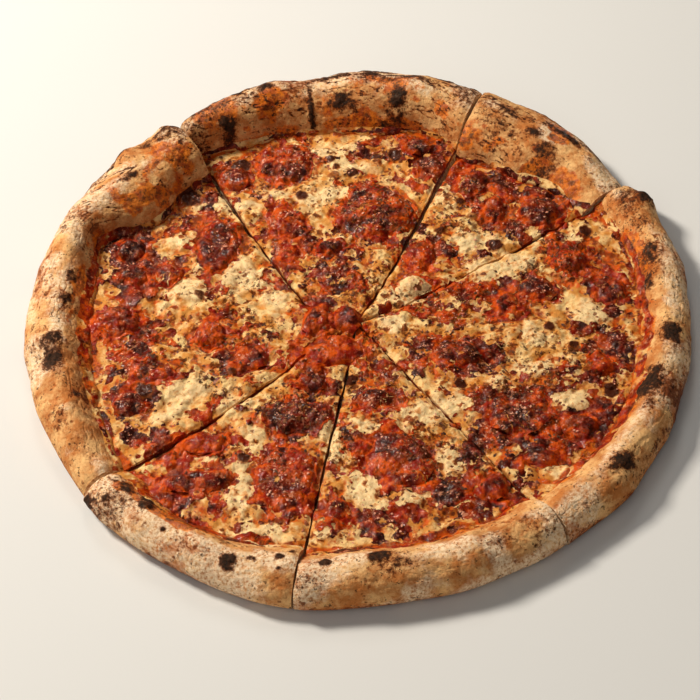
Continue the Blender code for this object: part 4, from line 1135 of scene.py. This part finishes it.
def topping_masks(x, y, on_lump=False):
    """Where tomato, oil, herbs, pale cheese and browned spots lie, their tones, and the shade painted in the
    creases.
    """
    def noise(length, seed, octaves=4):
        return fractal(x, y, length, seed, octaves)

    ring = lump_ring(x, y)
    bright, grated_and_glint, herb = tone(x, y)
    pale = patch_mask(x, y, PALE_BLOBS, 0.8, 410, 0.6)
    threads = ramp(np.abs(noise(9.0, 418, 3)), 0.075, 0.025) * smooth_step(0.35 + 1.2 * noise(20.0, 419, 2))
    if on_lump:
        draped = ramp(ring, 0.8, 1.1) * smooth_step(0.2 + noise(7.0, 417, 3))
        tomato = unit(1.0 - 0.8 * draped)
    else:
        halo = 1.25 + 0.3 * noise(6.0, 405)
        islands = 0.9 * ramp(noise(7.5, 422), 0.34, 0.5)
        flat = patch_mask(x, y, FLAT_TOMATO, 0.95, 400)
        tomato = np.maximum(np.maximum(flat, ramp(ring, halo, halo - 0.22)), islands)
        strands = ramp(noise(11.0, 415), 0.35, 0.6)
        tomato = tomato * (1 - 0.9 * np.maximum(pale, 0.7 * strands) * (ring > 1.0))
    tomato = tomato * (1 - 0.7 * threads)
    wide = patch_mask(x, y, [(a, b, c + 4, d + 4) for a, b, c, d in FLAT_TOMATO], 1.0, 420)
    raised, kind = chunks(x, y, CHUNK_LENGTH, CHUNK_SEED)
    curd, _ = chunks(x, y, 7.5, 480)
    beside = np.maximum(0.6 * wide, 0.85 * ramp(ring, 1.7, 1.3)) * (1 - tomato)
    oil = unit(beside + 0.4 * noise(13.0, 425) + 0.45 * (0.7 - curd)) * (1 - 0.8 * pale)
    herbs = np.maximum(0.9 * patch_mask(x, y, HERB_CLUMPS, 0.9, 430, 0.5), herb * ramp(ring, 1.6, 0.6))
    herbs = unit(herbs + 0.3 * (noise(14.0, 435, 3) - 0.35))
    edge = band(ring, 0.55, 1.35, 0.3)
    bright = unit(bright + 0.4 * noise(9.0, 445) + 0.45 * edge + 0.6 * (kind - 0.5))
    # Where shade is painted in the creases between chunks, less where the tomato is bright.
    depth = unit(0.95 - 1.5 * raised + 0.7 * noise(7.0, 450)) * (1 - 0.45 * bright)
    # Grated cheese and painted glints, fewer at the edges of the pieces.
    grated_and_glint = unit(grated_and_glint + 0.5 * noise(8.0, 460) - 0.45 * edge)
    return {"tomato": tomato, "bright": bright, "grated_and_glint": grated_and_glint, "herb": herbs, "oil": oil,
            "pale": pale, "spot": spot_mask(x, y), "depth": depth, "raised": raised, "curd": curd}


def listed(masks, places):
    """The masks that the materials read, point by point."""
    return {name: masks[name].ravel()[places] for name in TOPPING_MASKS}


def build_lump(lump, finish):
    """Dome of one piece of tomato on a grid of rings and spokes, kept inside its slice and
    rounded down at the cuts."""
    spokes = max(48, int(2 * pi * lump.size / FINE))
    rings = max(12, int(lump.size / FINE))
    turn = np.linspace(0, 2 * pi, spokes + 1)[:-1][:, None]
    reach = np.linspace(0.0, 1.0, rings)[None, :] ** 0.8
    x = lump.middle[0] + lump.half[0] * 1.05 * reach * np.cos(turn)
    y = lump.middle[1] + lump.half[1] * 1.05 * reach * np.sin(turn)
    if lump.piece:
        x, y = lump.piece.hold(x, y)
    masks = topping_masks(x, y, True)
    z = lump.height(x, y, masks["herb"])
    if lump.piece:
        radius, turned, between = lump.piece.locate(x, y)
        edge = np.maximum(np.minimum(turned, between - turned) * radius, 0.0)
        z = z - CUT_DROP * (z - LUMP_BOTTOM) * bell(edge, CUT_DROP_WIDTH)
    else:
        masks["tomato"] = np.ones(x.shape)
    if lump.key == CURD:
        masks["tomato"] = unit(0.1 + 0.2 * fractal(x, y, 4.0, 545))
        masks["pale"] = np.full(x.shape, 0.8)
    around = np.arange(spokes)
    first = (around[:, None] * rings + np.arange(rings - 1)).ravel()
    beside = (np.roll(around, -1)[:, None] * rings + np.arange(rings - 1)).ravel()
    triangles = np.concatenate([np.column_stack([first, first + 1, beside + 1]),
                                np.column_stack([first, beside + 1, beside])])
    border = around * rings + rings - 1
    make_piece("roasted_" + lump.node, [lump.node], (finish,),
               np.stack([x, y, z], axis=-1).reshape(-1, 3), triangles, (border[::-1],),
               listed(masks, np.arange(x.size)))


# ---------------------------------------------------------------- cheese and sauce

# How high mounds of sauce, curds, pale cheese, melted waves, fine grain, browned spots and
# herbs stand out, and how far the topping dips at the cuts.
MOUND_RISE, MOUND_NOISE, CURD_RISE, PALE_RISE = 1.5, 1.1, 1.3, 0.8
MELTED_RISE, FINE_RISE, SPOT_RISE, HERB_RISE = 0.9, 0.25, 0.4, 0.4
DIP_DEPTH, DIP_WIDTH = 1.1, 1.5
CHEESE_ROWS_SPAN, SAUCE_ROWS = 140.0, 40

# The bank of sauce at the foot of the rim: thickness, how much it varies, height of its
# middle and its width; the thin film above it, how far both are sunk, and the back's depth.
BANK, BANK_NOISE, BANK_HEIGHT, BANK_WIDTH = 0.9, 1.2, 8.0, 2.2
FILM, SMEAR_SUNK, SMEAR_BACK = 0.35, 0.25, 0.5


def cheese_height(piece, x, y, drawn, edge, masks):
    """Height of the topping: the solid's slow waves, melted lumps, mounds of tomato and
    a fine grain; it thins towards the rim and dips at the cuts."""
    relief_z = CHEESE_TOP + CHEESE_RELIEF * np.clip(waves(x, y, piece.seed + 20, 34.0), -1.2, 1.2)
    slow = relief_z + (CHEESE_EDGE_TOP - relief_z) * ramp(drawn, CHEESE_THINS_FROM, 1.0)
    mounds = masks["tomato"] * (MOUND_RISE * masks["raised"] - 0.6 + MOUND_NOISE * fractal(x, y, 5.0, 500, 4))
    mounds = mounds + (1 - masks["tomato"]) * CURD_RISE * (masks["curd"] - 0.6) + PALE_RISE * masks["pale"]
    melted = MELTED_RISE * fractal(x, y, 9.0, 510) + FINE_RISE * fractal(x, y, 3.2, 520)
    spots = SPOT_RISE * masks["spot"] + HERB_RISE * herb_relief(x, y, masks["herb"])
    return np.maximum(slow + mounds + melted + spots, LEAST_TOP) - DIP_DEPTH * bell(edge, DIP_WIDTH)


def build_cheese(piece, finish):
    """Sheet of cheese and sauce on a grid between the cut faces, out to the rim's foot."""
    share = piece.shares(FINE)
    drawn = np.linspace(0.0, 1.0, int(CHEESE_ROWS_SPAN / FINE))[None, :]
    radius = piece.tip + (piece.cheese_reach(share) - piece.tip) * drawn
    x, y = piece.place(radius, share + 0 * radius)
    low, high = piece.sides(radius)
    edge = np.minimum(share, 1 - share) * (high - low) * radius
    masks = topping_masks(x, y)
    near_foot = ramp(drawn + 0.02 * fractal(x, y, 9.0, 452), 0.955, 0.985)
    crept = near_foot * smooth_step(0.2 + 1.4 * fractal(x, y, 16.0, 455))
    masks["tomato"] = np.maximum(masks["tomato"], crept)
    masks["oil"] = np.maximum(masks["oil"], near_foot)
    masks["bright"] = unit(masks["bright"] + 0.3 * near_foot)
    z = cheese_height(piece, x, y, drawn + 0 * share, edge, masks)
    points, triangles, below, places = hung_sheet(
        x, y, np.maximum(z, CHEESE_BOTTOM + 0.3), CHEESE_BOTTOM, round_tip=False)
    make_piece("melted_cheese_" + piece.name, ["cheese_" + piece.name], (finish,),
               points, triangles, (below,), listed(masks, places))


def build_sauce(piece, finish):
    """Thin sheet of sauce under the cheese, which shows at the cuts."""
    share = piece.shares(SAUCE_STEP)
    drawn = np.linspace(0.0, 1.0, SAUCE_ROWS)[None, :]
    reach = piece.rim(share)[1] - SAUCE_FOOT_GAP - piece.tip
    radius = piece.tip + SAUCE_TIP_GAP + reach * drawn
    x, y = piece.place(radius, share + 0 * radius)
    z = SAUCE_TOP + 0.12 * fractal(x, y, 6.0, piece.seed + 600, 2)
    points, triangles, below, _ = hung_sheet(x, y, z, SAUCE_BOTTOM, round_tip=True)
    make_piece("tomato_sauce_" + piece.name, ["sauce_" + piece.name], (finish,),
               points, triangles, (below,))


def build_smear(piece, finish):
    """Sauce and oil that have crept up the foot of the rim: the crust's own points moved
    out along the normal by an uneven bank, a bell over the height, and a thin film."""
    wall = crust_surface(piece)[0][:, BASE_POINTS - 1:BASE_POINTS + SMEAR_POINTS]
    normal = np.cross(np.gradient(wall, axis=1), np.gradient(wall, axis=0))
    normal = normal / np.maximum(np.linalg.norm(normal, axis=2, keepdims=True), 1e-9)
    share = np.linspace(0.0, 1.0, len(wall))[:, None]
    direction, foot, outer, _, _ = piece.rim(share)
    across = (np.hypot(wall[..., 0], wall[..., 1]) - foot) / (outer - foot)
    arc = np.radians(direction) * RIM_RADIUS + 0 * across
    height = wall[..., 2]

    def noise(length, seed, octaves):
        return fractal(arc, height, length, piece.seed + seed, octaves)

    directions, brightness, reaches = np.transpose(FOOT_TONES)
    turned = np.mod(direction - directions[0], 360) + directions[0]
    reach = np.interp(turned, directions, reaches)
    film = ramp(height + 1.6 * noise(9.0, 610, 4), reach + 0.8, reach - 0.8)
    bank = (BANK + BANK_NOISE * noise(10.0, 620, 3)) * bell(height - BANK_HEIGHT, BANK_WIDTH)
    thick = np.maximum(bank, 0.0) + FILM * film - SMEAR_SUNK
    thick[:, -1] = -0.3
    masks = topping_masks(*piece.place(foot - 1.0 + 0 * across, share + 0 * across))
    blend = ramp(height, 7.5, 10.0)
    tomato = unit(0.8 * film + 0.7 * noise(8.0, 625, 4))
    masks["tomato"] = masks["tomato"] * (1 - blend) + tomato * blend
    # Brightness of the sauce round the rim; dark under the lobes of slices a and c, partly as painted shade.
    masks["bright"] = np.interp(turned, directions, brightness) + 0.35 * noise(6.0, 630, 4)
    masks["oil"] = unit(0.5 + 0.6 * noise(9.0, 635, 3))
    # The painted crease shade, here laid in random patches.
    masks["depth"] = unit(noise(5.0, 640, 3) - 0.1)
    points, triangles, places = slab(wall + normal * thick[..., None], wall - normal * SMEAR_BACK)
    make_piece("sauce_smear_" + piece.name, [], (finish,), points, triangles,
               attributes=listed(masks, places))


# ---------------------------------------------------------------- scattered pieces

FLAKE_CORNERS = np.array([(1, 0, 0), (-1, 0, 0), (0, 1, 0), (0, -1, 0), (0, 0, 1), (0, 0, -1)], float)
FLAKE_SIDES = np.array([(0, 2, 4), (2, 1, 4), (1, 3, 4), (3, 0, 4),
                        (2, 0, 5), (1, 2, 5), (3, 1, 5), (0, 3, 5)])
SCATTER_RADIUS, CUT_CLEARANCE = 142.0, 1.6


def surface_height(x, y):
    """Height of the topping at any place, pieces of tomato included, its masks, and
    the distance to the nearest cut."""
    masks = topping_masks(x, y)
    height, edge = np.zeros(x.shape), np.zeros(x.shape)
    for piece in ALL_SLICES.values():
        radius, turned, between = piece.locate(x, y)
        mine = turned < between
        foot = piece.rim(turned / between)[1]
        reach = piece.cheese_reach(turned / between)
        drawn = unit((radius - piece.tip) / (reach - piece.tip))
        away = np.minimum(turned, between - turned) * radius
        height[mine] = cheese_height(piece, x, y, drawn, away, masks)[mine]
        edge[mine] = np.where(radius < foot - 1.5, away, 0.0)[mine]
    for lump in LUMPS:
        near = lump.near(x, y, 1.2)
        height[near] = np.maximum(height[near], lump.height(x[near], y[near], masks["herb"][near]))
    return height, masks, edge


def scatter_places(count, seed, likelihood):
    """Random places on the topping, kept with the likelihood that the masks give."""
    draw = np.random.default_rng(seed)
    turn, radius = draw.uniform(0, 2 * pi, count), SCATTER_RADIUS * np.sqrt(draw.uniform(0.0, 1.0, count))
    x, y = radius * np.cos(turn), radius * np.sin(turn)
    height, masks, edge = surface_height(x, y)
    kept = (edge > CUT_CLEARANCE) & (draw.uniform(0, 1, count) < likelihood(masks))
    return np.column_stack([x, y, height])[kept]


def turned_by(angle, first, second):
    """Two coordinates of each flake's corners, turned by the flake's angle."""
    cosine, sine = np.cos(angle)[:, None], np.sin(angle)[:, None]
    return first * cosine - second * sine, first * sine + second * cosine


def build_flakes(name, places, seed, sizes, flat, sunk, finish):
    """Eight-sided flakes, one at each place: length, width and thickness are drawn
    from the sizes, every corner is moved a little, and each is turned and tilted."""
    draw = np.random.default_rng(seed)
    count = len(places)
    length = draw.uniform(*sizes, count)
    width = length * draw.uniform(0.35, 0.9, count)
    thick = np.minimum(length, width) * flat
    half = np.column_stack([length, width, thick])[:, None, :] / 2
    points = FLAKE_CORNERS[None] * half * draw.uniform(0.7, 1.25, (count, 6, 1))
    points = points + draw.uniform(-0.18, 0.18, (count, 6, 3)) * half
    tilt, turn = draw.normal(0, 0.35, count), draw.uniform(0, 2 * pi, count)
    x, z = turned_by(tilt, points[..., 0], points[..., 2])
    x, y = turned_by(turn, x, points[..., 1])
    placed = np.stack([x, y, z], axis=-1) + places[:, None, :]
    placed[..., 2] += (thick * (0.5 - sunk))[:, None]
    triangles = (np.arange(count) * 6)[:, None, None] + FLAKE_SIDES[None]
    make_piece(name, [], (finish,), placed.reshape(-1, 3), triangles.reshape(-1, 3))


# Small pieces: name, how many places are tried, first seed, how likely one stays, shortest
# and longest, thickness against the lesser width, how far it is sunk, slot, and its material:
# name, two colours, roughness and scale of the mottling.
SCATTERED = (
    ("herb_flakes", 16000, 901, lambda masks: 0.01 + 0.42 * masks["herb"] ** 1.3,
     (1.0, 3.0), 0.3, 0.3, "tomato", ("dried herbs", (132, 72, 28), (58, 32, 15), 0.85, 500.0)),
    ("toasted_crumbs", 9000, 903,
     lambda masks: 0.35 * (1 - masks["tomato"]) * (1 - 0.7 * masks["pale"]) * masks["oil"] + 0.05,
     (1.0, 2.8), 0.45, 0.35, "crust", ("toasted crumbs", (170, 86, 28), (92, 38, 14), 0.6, 400.0)),
    ("grated_grains", 26000, 905, lambda masks: 0.4 * masks["grated_and_glint"] ** 2 * masks["tomato"] + 0.01,
     (0.7, 2.0), 0.5, 0.35, "cheese", ("grated cheese", (228, 160, 126), (200, 116, 84), 0.5, 600.0)),
)


def build_scattered():
    """Herb flakes, toasted crumbs and grains of grated cheese."""
    for name, count, seed, likelihood, sizes, flat, sunk, slot, look in SCATTERED:
        places = scatter_places(count, seed, likelihood)
        build_flakes(name, places, seed + 1, sizes, flat, sunk, mottled_material(*look))


# ---------------------------------------------------------------- stage, light and camera

FLOOR_HALF = 3.0
FLOOR_COLOUR = (0.78, 0.78, 0.77, 1.0)
VIEW_LENS, VIEW_DISTANCE = 105.3, 1.02
VIEW_ELEVATION, VIEW_ROLL = 48.39, -2.23
VIEW_TARGET = (-0.0018, -0.0078, 0.0)
VIEW_SHIFT = (-0.0071, -0.0147)

# Lights: name, azimuth (0 is from +X), elevation, distance, size, watts, colour.
LIGHTS = (
    ("key", 150, 43, 1.6, 0.3, 29, (1.0, 0.92, 0.8)),
    ("front fill", -115, 48, 1.8, 1.6, 6, (1.0, 0.93, 0.84)),
    ("back shine", 92, 47, 1.8, 0.5, 4.5, (1.0, 0.95, 0.88)),
)
SKY_COLOUR, SKY_STRENGTH = (1.0, 0.98, 0.95, 1.0), 0.08


def build_stage():
    """A pale floor."""
    mesh = bpy.data.meshes.new("floor")
    corners = [(x * FLOOR_HALF, y * FLOOR_HALF, 0) for x, y in ((-1, -1), (1, -1), (1, 1), (-1, 1))]
    mesh.from_pydata(corners, [], [(0, 1, 2, 3)])
    floor = bpy.data.objects.new("floor", mesh)
    bpy.context.scene.collection.objects.link(floor)
    made, graph, shader = new_material("pale floor")
    graph.feed(shader, {"Base Color": FLOOR_COLOUR, "Roughness": 0.9})
    mesh.materials.append(made)


def build_light():
    """Square area lights that look at the middle, and a faint sky."""
    for name, azimuth, elevation, distance, size, watts, colour in LIGHTS:
        data = bpy.data.lights.new(name, "AREA")
        data.size = size
        data.energy = watts
        data.color = colour
        light = bpy.data.objects.new(name, data)
        turn, rise = np.radians(azimuth), np.radians(elevation)
        place = Vector((np.cos(turn) * np.cos(rise), np.sin(turn) * np.cos(rise), np.sin(rise))) * distance
        light.location = place
        light.rotation_euler = place.to_track_quat("Z", "Y").to_euler()
        bpy.context.scene.collection.objects.link(light)
    world = bpy.data.worlds.new("studio")
    world.use_nodes = True
    sky = world.node_tree.nodes["Background"].inputs
    sky["Color"].default_value = SKY_COLOUR
    sky["Strength"].default_value = SKY_STRENGTH
    bpy.context.scene.world = world
    bpy.context.scene.view_settings.view_transform = "Standard"


def build_camera():
    """The photograph's view: long lens, from the front and above, turned slightly."""
    data = bpy.data.cameras.new("camera")
    data.lens = VIEW_LENS
    data.sensor_width = 36.0
    data.shift_x, data.shift_y = VIEW_SHIFT
    data.clip_end = 20.0
    rise, roll = np.radians(VIEW_ELEVATION), np.radians(VIEW_ROLL)
    back = np.array([0.0, -np.cos(rise), np.sin(rise)])
    right = np.array([1.0, 0.0, 0.0])
    up = np.cross(back, right)
    turned_right = np.cos(roll) * right + np.sin(roll) * up
    turned_up = -np.sin(roll) * right + np.cos(roll) * up
    place = np.array(VIEW_TARGET) + back * VIEW_DISTANCE
    rows = np.column_stack([turned_right, turned_up, back])
    camera = bpy.data.objects.new("camera", data)
    camera.matrix_world = Matrix.Translation(Vector(place)) @ Matrix(rows.tolist()).to_4x4()
    bpy.context.scene.collection.objects.link(camera)
    bpy.context.scene.camera = camera


def main():
    build_stage()
    build_light()
    build_camera()
    dough, crumb = dough_material(), crumb_material()
    topping = topping_material("melted cheese and sauce", 0.7, (0.003, 0.0012, 0.0005), 0.75)
    tomato = topping_material("roasted tomato", 0.85, (0.003, 0.0006, 0.0004), 0.85)
    sauce = mottled_material("tomato sauce", SAUCE_DARK, SAUCE_LIGHT, 0.4)
    for piece in ALL_SLICES.values():
        build_crust(piece, dough, crumb)
        build_cheese(piece, topping)
        build_sauce(piece, sauce)
        build_smear(piece, topping)
    for lump in LUMPS:
        build_lump(lump, tomato)
    build_scattered()
    bpy.context.view_layer.update()


main()
